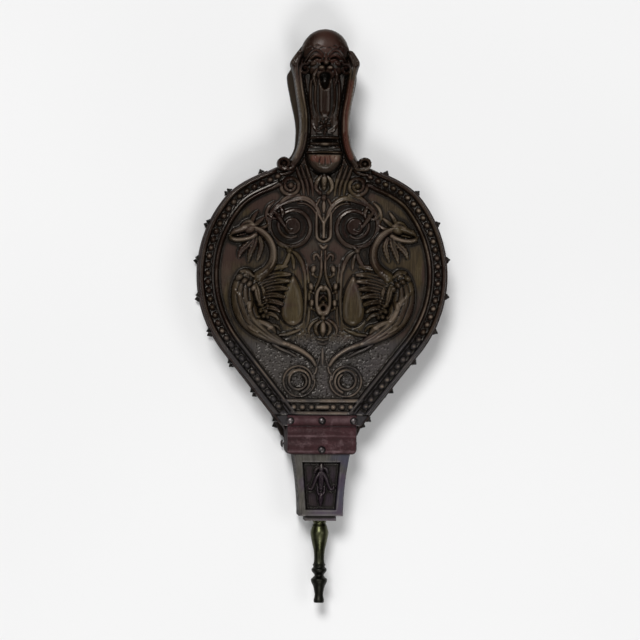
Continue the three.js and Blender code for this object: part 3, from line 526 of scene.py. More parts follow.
def carve_dragons(r):
    """A pair of dragons back to back, open-jawed heads turned out, tails ending in volutes."""
    # tail volutes: an outer line round a bright ring and a sunk eye
    lead = [(4.6, -50, 1, 1.4), (6.4, -58, 1.1, 2.2), (8.2, -66, 1.2, 2.6)]
    r.volute(*TAIL_EYE, 2.75, 1.05, 19.6, 17, (1.1, 1.3), (2.8, 3.8), lead=lead)
    r.volute(*TAIL_EYE, 4.4, -1.35, 14.6, 9, (1.7, 1.5), (4.6, 5.6))
    w = r.from_eye(*TAIL_EYE)
    r.h = np.where(w < 7.8, (w / 7.8) ** 6 - 0.6, r.h)
    # painted highlight round the tail volute's ring, partly worn
    r.rub_and_highlight([(*place, 1) for place in arc(*TAIL_EYE, 13.4, 0.5, 2.6, 9)])
    # tail
    r.stroke([(64, -24, 7, 8.6), (54, -29.4, 5.2, 8), (43, -33.5, 4, 7.6), (32, -37.6, 3.6, 7.6),
              (22, -43, 3.4, 7.6), (13.6, -50, 3, 7.2), (8.6, -57.6, 2.2, 5.6)])
    r.bead(41.6, -33.4, 4.6, 3.8, 9.8, angle=0.3)
    r.stroke([(60, -33, 1.6, 3.6), (50, -38.6, 2.2, 4.4), (40, -43, 1.8, 3.6), (31, -48, 1, 2)])
    # body: a thick crescent from the collar to the tail
    r.stroke([(93, 47, 10.5, 8.4), (96.5, 34, 13, 10.4), (95, 16, 14.6, 11.8), (89, 0, 13.8, 11.4),
              (78, -13, 11, 10.4), (64, -23, 7.6, 9), (53, -29, 5.2, 8)], "plumed", strands=4, depth=0.2)
    r.bead(88.5, 12.5, 5.2, 9, 14.2, angle=0.25)
    for i in range(6):
        t = i / 5
        r.leaf([(107 - 15 * t, 33 - 41 * t, 1.2, 8.4 - t), (100 - 13 * t, 24 - 37 * t, 3.2, 12.2 - t),
                (92 - 14 * t, 15 - 34 * t, 1.6, 11.6 - 1.4 * t)], 0.12)
    r.paint(r.stain_and_shade, [(92, 40, 12), (96, 26, 12), (94, 8, 12, 0.8), (84, -8, 11, 0.6), (68, -20, 7, 0.3)],
            0.45)
    # pale marks, worn and as painted highlights, on the body and the tail's ridge; the broad highlight on the
    # right dragon's body is painted on that side only
    r.rub_and_highlight([(86, 6, 4, 0.5), (84, -3, 5, 0.8), (76, -11, 4, 0.8), (66, -17, 3, 0.4)], 0.6)
    r.rub_and_highlight([(101, 28, 2, 0.6), (93, 18, 2.8), (87, 6, 2.8), (80, -4, 2, 0.6)], 1.2, (1,))
    r.rub_and_highlight([(89.5, 16, 2.8), (88.4, 8, 2.8)], 1.2)
    r.rub_and_highlight([(47, -31.6, 1.6), (36, -35.2, 1.6), (24, -41, 1.5), (13, -50, 1.2, 0.6)], 1.4)
    # collar of lobes and the shoulder plume
    for x, y, a in ((100.6, 46.6, 1), (94.8, 42.6, 0.85), (89, 38.8, 0.7), (83.6, 34.2, 0.5)):
        r.bead(x, y, 4, 5.2, 14, base=3, angle=a)
        r.groove([(x - 3.2, y + 3.6, 0.9, 1.4), (x, y, 0.8, 0.6), (x + 2.4, y - 3, 0.7, 0.3)])
    r.leaf([(81, 38, 2.8, 11), (79.4, 30, 4.6, 14.4), (77.6, 21, 3.8, 13.4), (74.6, 13, 1.6, 9.6)], 0.22)
    r.leaf([(74, 37, 2, 8), (71.4, 30, 3.2, 11.6), (71, 23, 1.6, 8)], 0.22)
    for x, y, s in ((68.4, 19.4, 2.9), (66.6, 12.6, 2.7), (73.4, 13.4, 2.6), (68.6, 6.2, 3), (75, 6.4, 2.8),
                    (71.4, 0.2, 2.8), (77.2, -0.6, 2.4), (66.4, -0.8, 2.2)):
        r.bead(x, y, s, s, 11.6, base=1)
    # foot and claw under the body
    r.leaf([(79, -5, 3.6, 11), (70, -8.6, 4, 11.6), (62, -13, 4.2, 12.2), (57, -19, 1.8, 6.4)], 0.1)
    r.bead(63.4, -13.4, 3.8, 3.2, 12.8, angle=0.5)
    # painted highlight on the claw, partly worn
    r.rub_and_highlight([(61.8, -12.6, 1.8), (65, -14, 1.8)], 1.5)
    r.stroke([(60, -9.6, 1.8, 7), (54.4, -12, 2, 6.6), (51, -16.6, 1, 3.6)])
    r.leaf([(52, -22, 1.5, 4), (43, -21, 2.4, 4.6), (34, -18, 2, 3.6), (27, -15, 1, 1.8)], 0.2)
    # neck, with a painted highlight along its ridge and painted shade on its outer flank
    neck = [(86, 106, 5, 8.6), (76, 102.6, 5, 8.8), (67.4, 95.6, 5, 8.8), (61.8, 85.6, 5, 8.6),
            (59.8, 74.4, 5.2, 8.6), (61.8, 63.6, 5.6, 9), (67.6, 54.6, 6.6, 9.6), (77, 47, 8.2, 10.4)]
    r.stroke(neck, "ribbed", pitch=3.6, depth=0.05)
    r.stroke([(x - 1.6, y + 1, 1.9, h + 2.2) for x, y, _, h in neck[:-1]])
    r.leaf([(84, 48, 2, 9), (91, 53, 3, 9.6), (99, 54, 1.6, 6)], 0.2)
    # painted highlight along the neck's ridge, partly worn
    r.rub_and_highlight([(82, 106.2, 1.2, 0.8), (74, 102.4, 1.3), (66.2, 95.6, 1.4), (60.6, 85.6, 1.4), (58.6, 74.4, 1.4),
           (60.4, 64.4, 1.2, 0.8), (65, 56, 1, 0.3)], 1.7)
    # painted shade down the neck's outer flank
    r.paint(r.stain_and_shade, [(x + 3.4, y - 1.6, 2.4) for x, y, _, _ in neck[1:-1]], 0.5)
    # head: skull, snout with hooked tip, lower jaw, eye, crest and beard
    r.leaf([(84, 94, 3.6, 6.2), (91, 86, 5, 5.6), (98, 79, 4.2, 4.6), (101.6, 71, 1.4, 2.2)], lobe=0.25)
    r.leaf([(81, 96, 3.4, 5.6), (83.4, 86, 4.8, 5.2), (87.6, 76, 4.2, 4.4), (90, 66, 1.4, 2.2)], lobe=0.25)
    r.leaf([(77, 95, 3, 5), (74.4, 85, 4, 4.6), (76.6, 75, 3.4, 3.8), (79.4, 67, 1.2, 2)], lobe=0.25)
    r.bead(88, 105.6, 8.8, 6.8, 11.6, angle=-0.3)
    r.stroke([(86, 107, 5.4, 10.8), (94.6, 106, 4.8, 11), (102.4, 103, 4, 10.2), (108, 100.6, 3.2, 9.2),
              (110.6, 97.8, 1.8, 6.6)])
    r.bead(106.8, 103.6, 2.5, 2.1, 11)
    r.stroke([(82, 97.6, 3.8, 9), (90, 93.6, 3.4, 9), (99, 91.4, 3.2, 9.6), (107, 91.8, 3, 10),
              (113, 96.4, 1.6, 7.4)])
    r.stroke([(91, 99.4, 1.3, 2.6), (100, 97.4, 1.7, 3.4), (107, 96.2, 1.2, 3.2)])
    r.bead(90.4, 107.8, 2.8, 2.3, 13.6)
    r.stroke([(83.4, 108.6, 1.8, 9.8), (88, 113.4, 2.8, 12.6), (94.6, 112.2, 2.4, 11.6),
              (99, 108.6, 1.4, 8.4)])
    r.leaf([(84, 108, 3, 8.8), (77.4, 113.6, 3, 8.4), (71.6, 118.4, 1.4, 4.4)])
    r.leaf([(87, 111, 2.8, 9.4), (84, 118.6, 2.8, 8.4), (79.4, 125.4, 1.2, 4)])
    r.leaf([(79, 104, 2.6, 8.8), (71.6, 106.6, 2.4, 6.6), (65.4, 111.4, 1.2, 3.4)])
    # painted highlights along the jaw, partly worn
    r.rub_and_highlight([(84, 94.6, 1.6, 0.8), (96, 92.4, 2), (108, 92.6, 2.4)], 1.1)
    r.bead(110.4, 93, 3.2, 3, 11, base=2)
    # painted highlights along the brow, partly worn
    r.rub_and_highlight([(83, 109.6, 1.6), (90, 110.4, 2), (97, 107, 1.6, 0.8)], 0.9)
    # wing: a long leaf above, then feathers, each over the one before
    r.leaf([(82, 42, 4, 8.6), (69, 53, 4.6, 6.6), (56, 58.6, 4.2, 5.4), (44, 60.4, 1.8, 3.4)], 0.2)
    feathers = [[(84, 38, 4.4, 9), (69, 46, 5, 8), (54, 50.4, 4.4, 7.4), (40.5, 50.6, 2, 5.8)],
                [(82, 33, 4.2, 9.2), (67, 39.6, 4.8, 8.2), (54, 42.6, 4.4, 7.8), (41.5, 42.8, 2.2, 6.6)],
                [(80, 27, 4.2, 9.2), (66, 32.4, 4.6, 8.4), (54, 34.4, 4.2, 8), (43.5, 33.4, 2.2, 6.6)],
                [(78, 21, 4, 9), (66, 25.4, 4.2, 8.2), (56, 25.8, 3.8, 7.8), (46.8, 23.4, 2.2, 6.4)],
                [(76, 15, 3.8, 8.8), (66, 18.4, 3.8, 8), (57.4, 17.8, 3.6, 7.8), (50, 15.2, 3, 8.4)],
                [(74, 8, 3.6, 8.4), (66, 11, 3.4, 7.6), (58.6, 9.8, 3.2, 7), (52.6, 6.4, 2, 5.4)],
                [(72, 1, 3, 8), (64, 3.4, 3.2, 7), (57.4, 1, 2.6, 6), (53.6, -3.4, 1.4, 4)]]
    for feather in feathers:
        r.leaf(feather, 0.34, soft=0.15)
    r.paint(r.stain_and_shade, [(66, 46, 13), (60, 30, 16), (62, 12, 12), (60, 0, 8, 0.6)], 0.5)
    # painted shade under the head
    r.paint(r.stain_and_shade, [(75, 82, 7), (86, 80, 9), (97, 80, 8)], 0.5)


def carve_handle(r):
    """The handle: side rails that end in scrolls, a strap, and a grotesque beast's mask at the domed end."""
    root = unit((r.y - 172) / 16)
    across = np.abs(r.x) / np.interp(r.y, [150, 187, 200, 238, 300, 345], [60, 40, 33, 30, 36, 30])
    ground = root * (4.6 - 2.2 * unit((across - 0.35) / 0.35))
    r.h = np.maximum(r.h, ground)
    rail = [(28, 318, 4.6, 8), (34, 305, 6, 9.6), (33.4, 290, 6.4, 10.4), (29.6, 266, 6.4, 10.8),
            (25.8, 240, 6.2, 10.8), (25.4, 220, 6.2, 10.6), (27.8, 204, 6, 10.4), (33, 190, 5.4, 10),
            (38.8, 181.5, 4.4, 9.4)]
    r.stroke(rail)
    crest = [(27, 308, 1.6, 9.6), (30.4, 296, 2.3, 12.4), (29, 281, 2.5, 13.2), (26.4, 264, 2.5, 13.2),
             (22.8, 243, 2.5, 13.2), (22.4, 221, 2.5, 13), (24.6, 205, 2.4, 12.6), (29.4, 191, 2.2, 11.8),
             (36, 181, 1.8, 10.6)]
    r.stroke(crest)
    r.stroke([(x + 5.4, y, 1.5, h - 1.6) for x, y, _, h in crest[:-1]])
    r.groove([(x - 4.4, y, 1.6, 1.6) for x, y, _, _ in crest])
    r.rub_and_highlight([(x + 4.6, y, 3) for x, y, _, _ in crest[1:-1]], 0.62)
    # a painted highlight along the rails' crests, partly worn
    r.rub_and_highlight([(x + 0.3, y, 1.3) for x, y, _, _ in crest[1:6]])
    r.paint(r.ruddy, [(x + 1.8, y, 4.2) for x, y, _, _ in crest[2:-1]], 0.75, (1,))
    lead = [(35, 186, 3.8, 9.8), (39.5, 178.3, 3.4, 9.6)]
    r.volute(48.5, 183.5, -2, 1.2, 7, 4.4, (2.9, 2), (10, 9.6), eye=(3, 10.8), lead=lead)
    r.leaf([(33, 180, 1.6, 4.6), (40, 173.6, 2.6, 5.6), (48, 171, 2.4, 4.8), (56, 170.6, 1.4, 3.2)], 0.15)
    # cup: half an ellipsoid with flutes, flat on top
    w = r.window(-24, 24, 168, 197)
    x, y = r.x[w], r.y[w]
    u = np.hypot(x / 21, (194.6 - y) / 22.6)
    flute = np.abs(np.sin(np.arctan2(x, 214 - y) * 13))
    dome = 5 + 11.5 * unit(1 - u**6) ** 0.5 - 1.3 * (1 - flute) ** 2 * (u < 0.62)
    r.raise_to(w, np.where((u < 1) & (y < 194.6), dome, r.h[w] - CLEAR), 0.2)
    r.h[w] -= 2.4 * np.exp(-(((u - 1.06) / 0.05) ** 2)) * (y < 193)
    r.swag((20, 196.4, 1.9, 9.6), (197, 2.2, 10.8))
    r.paint(r.stain_and_shade, [(18.6, 191, 2, 0.5), (15.6, 183, 3), (9.4, 177, 4), (0, 175, 4.6)], 0.7)
    r.paint(r.ruddy, [(-14, 189.4, 4.4), (0, 188.2, 6.6), (14, 189.4, 4.4)], 1, (1,))
    r.rub_and_highlight([(-12, 190, 3.4), (0, 188.6, 5.6), (12.6, 189, 4, 1.6)], 0.55, (1,))
    # painted highlight on the middle of the rounded moulding
    r.rub_and_highlight([(-3.6, 207, 1.3, 0.6), (0.5, 206.8, 1.8), (4, 207, 1.2, 0.5)], 2.4, (1,))
    # mouldings over the cup, and the flower
    r.swag((17, 203.4, 1.2, 5.2), (203.6, 1.4, 5.8))
    r.swag((15.5, 207.4, 1.8, 8.6), (206.8, 2.9, 12))
    r.hollow(0, 210.6, 17, 1.5, 2.6)
    r.swag((16, 214.2, 1.8, 7.6), (214.8, 2.2, 9))
    for a in np.arange(5) * 2 * math.pi / 5 + 0.3:
        r.bead(4.8 * math.sin(a), 229 + 4.8 * math.cos(a), 2.3, 3.7, 8, angle=-a, mirror=False)
    r.bead(0, 228.6, 2.7, 2.7, 10.6)
    r.hollow(4.6, 236.4, 1.8, 1.8, 1.6)
    r.upright([(224, 1.6, 6.6), (219.6, 2.4, 7.2), (216, 1.4, 5.6)])
    r.leaf([(4, 221.4, 1.4, 5.8), (10, 223.6, 2.4, 7), (14, 230, 1.4, 5.2)])
    # strap that hangs from the mouth, between folds
    w = r.window(-9, 9, 236, 292)
    half = np.interp(r.y[w], [240, 246, 262, 290], [3.6, 6.6, 7, 6.4])
    crown = unit(1 - (np.abs(r.x[w]) / half) ** 3) ** 0.5
    strap = 5 + 2 * crown * unit((r.y[w] - 240) / 6) ** 0.5
    r.raise_to(w, np.where(np.abs(r.x[w]) < half, strap, r.h[w] - CLEAR), 0.2)
    r.stroke([(9.8, 288, 1.8, 7.6), (11.6, 270, 2.3, 6.9), (11, 252, 2.1, 6.3), (7.6, 240, 1.6, 5.6)])
    r.stroke([(15, 292, 1.9, 7.6), (17.2, 274, 2.3, 6.2), (16.4, 250, 1.9, 5.4), (13.6, 236, 1.4, 4.8)])
    # mask: a smooth crown, low brows over sunk eyes, a broad nose, muzzle, jowls and an open mouth
    r.bead(0, 318, 28, 26.6, 18.2, base=4)
    r.bead(0, 300, 23, 15, 15, base=6)
    r.stroke([(1.4, 309.6, 2, 18.6), (5.4, 314.6, 2.8, 20), (10.4, 318.2, 2.8, 19.8), (15.4, 317, 2.6, 18.6),
              (20.4, 311.4, 2.4, 15.6), (24.6, 305, 1.6, 12.2)])
    r.stroke([(8, 310.6, 1.4, 16.6), (12.6, 312.6, 1.8, 17), (17.4, 309.8, 1.8, 15.6),
              (21.6, 305.4, 1.2, 12.6)])
    r.groove([(6.4, 308.4, 1.2, 3.4), (11.6, 309.6, 1.5, 4.2), (16.6, 306.4, 1.2, 3)])
    r.bead(14.2, 302.6, 6.6, 4.2, 17, angle=-0.3)
    for x, y, tilt in ((3.4, 322.4, 0.5), (9.4, 324.6, 0.2), (16, 322.6, -0.4)):
        r.groove([(x - 1.6, y - 1.6 + tilt, 0.9, 0.5), (x + 1.6, y - tilt, 0.9, 0.9),
                  (x + 4.2, y - 1.8 - tilt, 0.8, 0.4)])
    # painted highlight on the right brow only
    r.rub_and_highlight([(11.4, 318.4, 1.3, 0.8), (15.6, 316.2, 1.5), (18.8, 312.6, 1.1, 0.6)], 1.3, (1,))
    r.paint(r.stain_and_shade, [(0, 337, 18), (0, 328, 20)], 0.8, (1,))
    r.upright([(315, 2.4, 19), (309, 4, 20.6), (305.4, 5.4, 21.4)])
    r.bead(0, 304.4, 9.4, 4.6, 21.8)
    r.hollow(4.1, 302.8, 2.3, 2.1, 6)
    r.bead(5, 297.4, 5.8, 4.4, 21.2)
    r.groove([(0, 301, 1.1, 3), (0, 293, 1.2, 3.4)], mirror=False)
    # painted highlights on the nose and muzzle pads, stronger on the right
    for x, y, amount, sides in ((1.2, 303.2, 1.5, (1,)), (5.2, 298, 1.9, (1,)), (5.2, 298.4, 1, (-1,))):
        r.rub_and_highlight([(x - 1.4, y, 1.5), (x + 1.4, y, 1.5)], amount, sides)
    r.volute(24.6, 296.4, 1.9, -1.15, 6.6, 3, (2.5, 1.8), (15.4, 14.6), eye=(2, 14.4),
             lead=[(15, 306, 1.8, 15.6), (19.4, 305.4, 2.4, 15.6)])
    r.leaf([(10.6, 295.6, 2.4, 16.8), (13.6, 289.4, 2.9, 14.6), (13.4, 283.4, 2.4, 11.8),
            (11.6, 276.4, 1.4, 8)], 0.15)
    w = r.window(-10, 10, 262, 296)
    u = np.hypot(r.x[w] / 8.2, (r.y[w] - 286) / np.where(r.y[w] > 286, 7.2, 16))
    r.h[w] = np.where(u < 1, np.minimum(r.h[w], 14 * u**2.2 - 4), r.h[w])
    r.paint(r.ruddy, [(0, 334, 16), (0, 316, 22), (0, 300, 20, 0.6)], 0.42, (1,))
    # ears and side curls
    r.leaf([(24, 323, 3, 11), (31, 317, 3.8, 10.4), (36.6, 309, 4, 9.8), (39.4, 303, 3.6, 9.6)], 0.15)
    r.bead(38.6, 303.5, 4.6, 4.8, 10.4)


def edge_fall(inside, radius):
    """How far a rounded edge falls away."""
    return radius - np.sqrt(radius**2 - (radius - np.clip(inside, 0, radius)) ** 2)


def finish_carving(r, inside):
    """Tool marks, softened edges, and a rounded outer edge."""
    mark = 0.16  # depth of the tool marks
    r.h += mark * patchy(r.h.shape, 9, 3) + mark * 0.8 * patchy(r.h.shape, 26, 4)
    r.h = blurred(r.h, 0.32 / r.cell)
    r.h -= edge_fall(inside, 1.6)


def punch_ground(r):
    """Close-set punch marks on the flat ground round the tails, where dust has greyed the wood; the middle of
    each punch is painted with shade.
    """
    n = pear_inset(r.x, r.y)
    r.ruddy -= unit((-16 - r.y) / 20)
    for _ in range(1900):
        x, y = rng.uniform(-80, 80), rng.uniform(-97, -14)
        j, i = np.searchsorted(r.ys, y), np.searchsorted(r.xs, x)
        if n[j, i] > 25.5 and r.h[j, i] < 0.6:
            r.hollow(x, y, 1.3, 1.3, 0.5, mirror=False)
            # painted shade in the punch's pit
            r.stain_and_shade[j, i] += 0.9


# ---- Meshes ----
def link(name, data):
    piece = bpy.data.objects.new(name, data)
    bpy.context.scene.collection.objects.link(piece)
    return piece


def mesh_piece(name, points, faces, sharp, **painted):
    """A smooth-shaded object from points in mm. Edges bent more than sharp degrees stay crisp, and each
    painted layer has a value for every point."""
    mesh = bpy.data.meshes.new(name)
    mesh.from_pydata((np.asarray(points, float) * MM).tolist(), [], faces)
    mesh.update()
    for layer_name, values in painted.items():
        layer = mesh.attributes.new(layer_name, "FLOAT", "POINT")
        layer.data.foreach_set("value", np.asarray(values, np.float32))
    mesh.shade_smooth()
    mesh.set_sharp_from_angle(angle=math.radians(sharp))
    return link(name, mesh)


def level(z):
    """A flat surface, as a function of y."""
    return lambda y: np.full(y.shape, float(z))


def carved_piece(name, r, inside, top, low, grid_bottom=False):
    """A closed solid, clipped to where inside is positive: the relief on a surface top(y), down to low(y)."""
    within = inside > -0.3 * r.cell
    quads = within[:-1, :-1] & within[1:, :-1] & within[:-1, 1:] & within[1:, 1:]
    around = np.pad(quads, 1)
    quads &= (around[:-2, 1:-1] | around[2:, 1:-1]) & (around[1:-1, :-2] | around[1:-1, 2:])
    number = np.full(within.shape, -1)
    used = np.zeros(within.shape, bool)
    for j, i in ((0, 0), (1, 0), (0, 1), (1, 1)):
        used[j : j + quads.shape[0], i : i + quads.shape[1]] |= quads
    number[used] = np.arange(used.sum())
    around = np.pad(quads, 1).astype(int)
    rim = used & ((around[:-1, :-1] + around[1:, :-1] + around[:-1, 1:] + around[1:, 1:]) < 4)
    gy, gx = np.gradient(inside, r.cell)
    scale = np.maximum(gx**2 + gy**2, 0.25)
    x = r.x - np.where(rim, inside * gx / scale, 0)
    y = r.y - np.where(rim, inside * gy / scale, 0)
    heights = top(r.y) + r.h
    # wear: how far each point stands above or sinks below its surroundings. The material makes what stands
    # out paler, as worn and as a painted highlight, and makes the hollows black with painted shade.
    broad, narrow = (r.h - blurred(r.h, reach / r.cell) for reach in (3.2, 1.3))
    wear = 0.5 * np.tanh(broad / 1.5) + 0.5 * np.tanh(narrow / 0.5)
    points = np.column_stack([x[used], y[used], heights[used]])
    j, i = np.nonzero(quads)
    a, b, c, d = number[j, i], number[j, i + 1], number[j + 1, i + 1], number[j + 1, i]
    faces = np.column_stack([a, b, c, d])
    edges = np.concatenate([faces[:, [0, 1]], faces[:, [1, 2]], faces[:, [2, 3]], faces[:, [3, 0]]])
    key, back = edges[:, 0] * len(points) + edges[:, 1], edges[:, 1] * len(points) + edges[:, 0]
    border = edges[~np.isin(key, back)]
    bottom_of = lambda p: np.column_stack([p[:, :2], low(p[:, 1])])
    if grid_bottom:
        lower = np.arange(len(points)) + len(points)
        below = bottom_of(points)
        all_faces = faces.tolist() + (faces[:, ::-1] + len(points)).tolist()
    else:
        following = dict(border.tolist())
        start = here = border[0, 0]
        loop = [start]
        while following[here] != start:
            here = following[here]
            loop.append(here)
        lower = np.full(len(points), -1)
        lower[loop] = np.arange(len(loop)) + len(points)
        below = bottom_of(points[loop])
        all_faces = faces.tolist() + [lower[loop[::-1]].tolist()]
        border = np.array([(p, q) for p, q in border.tolist() if lower[p] >= 0 and lower[q] >= 0])
    walls = np.column_stack([border[:, 1], border[:, 0], lower[border[:, 0]], lower[border[:, 1]]])
    # painted shade: the points under the walls take the darkest stain_and_shade value, so the walls grow
    # darker towards the bottom
    layers = (("wear", wear, 0), ("stain_and_shade", r.stain_and_shade, 1), ("ruddy", r.ruddy, 0))
    painted = {key: np.append(layer[used], np.full(len(below), under)) for key, layer, under in layers}
    return mesh_piece(name, np.vstack([points, below]), all_faces + walls.tolist(), sharp=50, **painted)


def moved(piece, flip, by):
    """Multiplies a mesh's places by flip, and moves them, in mm."""
    places = np.array([v.co for v in piece.data.vertices]) * flip + np.array(by) * MM
    piece.data.vertices.foreach_set("co", places.astype(np.float32).ravel())


def quad(j, i, n):
    """The corners of a cell in a grid of points, n to a row."""
    return [j * n + i, j * n + i + 1, (j + 1) * n + i + 1, (j + 1) * n + i]


def tube_faces(rings, sides):
    """Quads between rings of points, each with as many sides, and a cap at each end."""
    turns = [(j, (j + 1) % sides) for j in range(sides)]
    faces = [[i * sides + j, i * sides + after, (i + 1) * sides + after, (i + 1) * sides + j]
             for i in range(rings - 1) for j, after in turns]
    return faces + [list(range(sides))[::-1], [(rings - 1) * sides + j for j in range(sides)]]


def swept_piece(name, path, section_at):
    """A closed body along rows (x, y, inward x, inward y); section_at(row, i) gives (inward distance, z)."""
    rings = []
    for i, row in enumerate(path):
        section = np.asarray(section_at(row, i))
        inward, z = section.T
        rings.append(np.column_stack([row[0] + row[2] * inward, row[1] + row[3] * inward, z]))
    piece = mesh_piece(name, np.vstack(rings), tube_faces(len(rings), len(section)), 60)
    outward(piece)
    return piece


def outward(piece):
    """Turns a closed mesh's faces outwards."""
    bm = bmesh.new()
    bm.from_mesh(piece.data)
    bmesh.ops.recalc_face_normals(bm, faces=bm.faces)
    bm.to_mesh(piece.data)
    bm.free()


def lathe_points(rows, sides, wobble=None):
    """Points and faces of a body turned about +Z, from rows (radius, height), in order along its outline."""
    points = []
    for radius, height in rows:
        for s in range(sides):
            a = 2 * math.pi * s / sides
            r = radius * (1 + (wobble(a, height) if wobble else 0))
            points.append((r * math.cos(a), r * math.sin(a), height))
    return np.array(points), tube_faces(len(rows), sides)


# ---- Materials: node groups from noise, and the carving's own layers: wear with painted light and shade, stain with painted shade and highlights, and ruddy ----
class Paint:
    """A node-based material. Sockets are named; a number, colour or another node's output goes in each."""

    def __init__(self, name, **fixed):
        self.material = bpy.data.materials.new(name)
        self.material.use_nodes = True
        self.tree = self.material.node_tree
        self.shader = self.tree.nodes["Principled BSDF"]
        for key, value in fixed.items():
            self.shader.inputs[key.replace("_", " ")].default_value = value
        self.place = self.node("TexCoord").outputs["Object"]

    def node(self, kind, settings=(), **inputs):
        made = self.tree.nodes.new("ShaderNode" + kind)
        for key, value in dict(settings).items():
            setattr(made, key, value)
        for key, value in inputs.items():
            socket = made.inputs[int(key[1:])] if key[0] == "_" else made.inputs[key.replace("_", " ")]
            if isinstance(value, bpy.types.NodeSocket):
                self.tree.links.new(value, socket)
            else:
                socket.default_value = value
        return made

    def stretched(self, x, y, z):
        return self.node("Mapping", Vector=self.place, Scale=(x, y, z)).outputs[0]

    def noise(self, scale, where=None, detail=4.0, rough=0.55, distortion=0.0):
        return self.node("TexNoise", Vector=where or self.place, Scale=scale, Detail=detail, Roughness=rough,
                         Distortion=distortion).outputs[0]

    def cells(self, scale, where=None, feature="DISTANCE_TO_EDGE"):
        return self.node("TexVoronoi", {"feature": feature}, Vector=where or self.place,
                         Scale=scale).outputs["Distance"]

    def ramp(self, value, low, high, to_low=0.0, to_high=1.0):
        return self.node("MapRange", {"interpolation_type": "SMOOTHSTEP"}, _0=value, _1=low, _2=high,
                         _3=to_low, _4=to_high).outputs[0]

    def math(self, operation, a, b=0.5):
        return self.node("Math", {"operation": operation}, _0=a, _1=b).outputs[0]

    def mix(self, amount, a, b):
        return self.node("Mix", {"data_type": "RGBA"}, _0=amount, _6=a, _7=b).outputs[2]

    def attribute(self, name):
        return self.node("Attribute", {"attribute_name": name}).outputs["Fac"]

    def steep(self):
        """1 on upright faces, which are painted darker as shade and, with no wax on them, stay dull; 0 on
        flat ones.
        """
        facing = self.node("NewGeometry").outputs["True Normal"]
        upwards = self.node("SeparateXYZ", Vector=facing).outputs["Z"]
        return self.ramp(self.math("ABSOLUTE", upwards), 0.35, 0.1)

    def bump(self, height, distance, strength, over=None):
        inputs = {"Height": height, "Distance": distance, "Strength": strength}
        if over:
            inputs["Normal"] = over
        return self.node("Bump", **inputs).outputs[0]

    def finish(self, **inputs):
        for key, value in inputs.items():
            self.tree.links.new(value, self.shader.inputs[key.replace("_", " ")])
        return self.material


def rgb(r, g, b):
    return (r, g, b, 1.0)


def shade(colour, r, g=None, b=None):
    """A colour with its red, green and blue multiplied, all by the same if only one is given."""
    return tuple(value * share for value, share in zip(colour, (r, g or r, b or r))) + (1,)


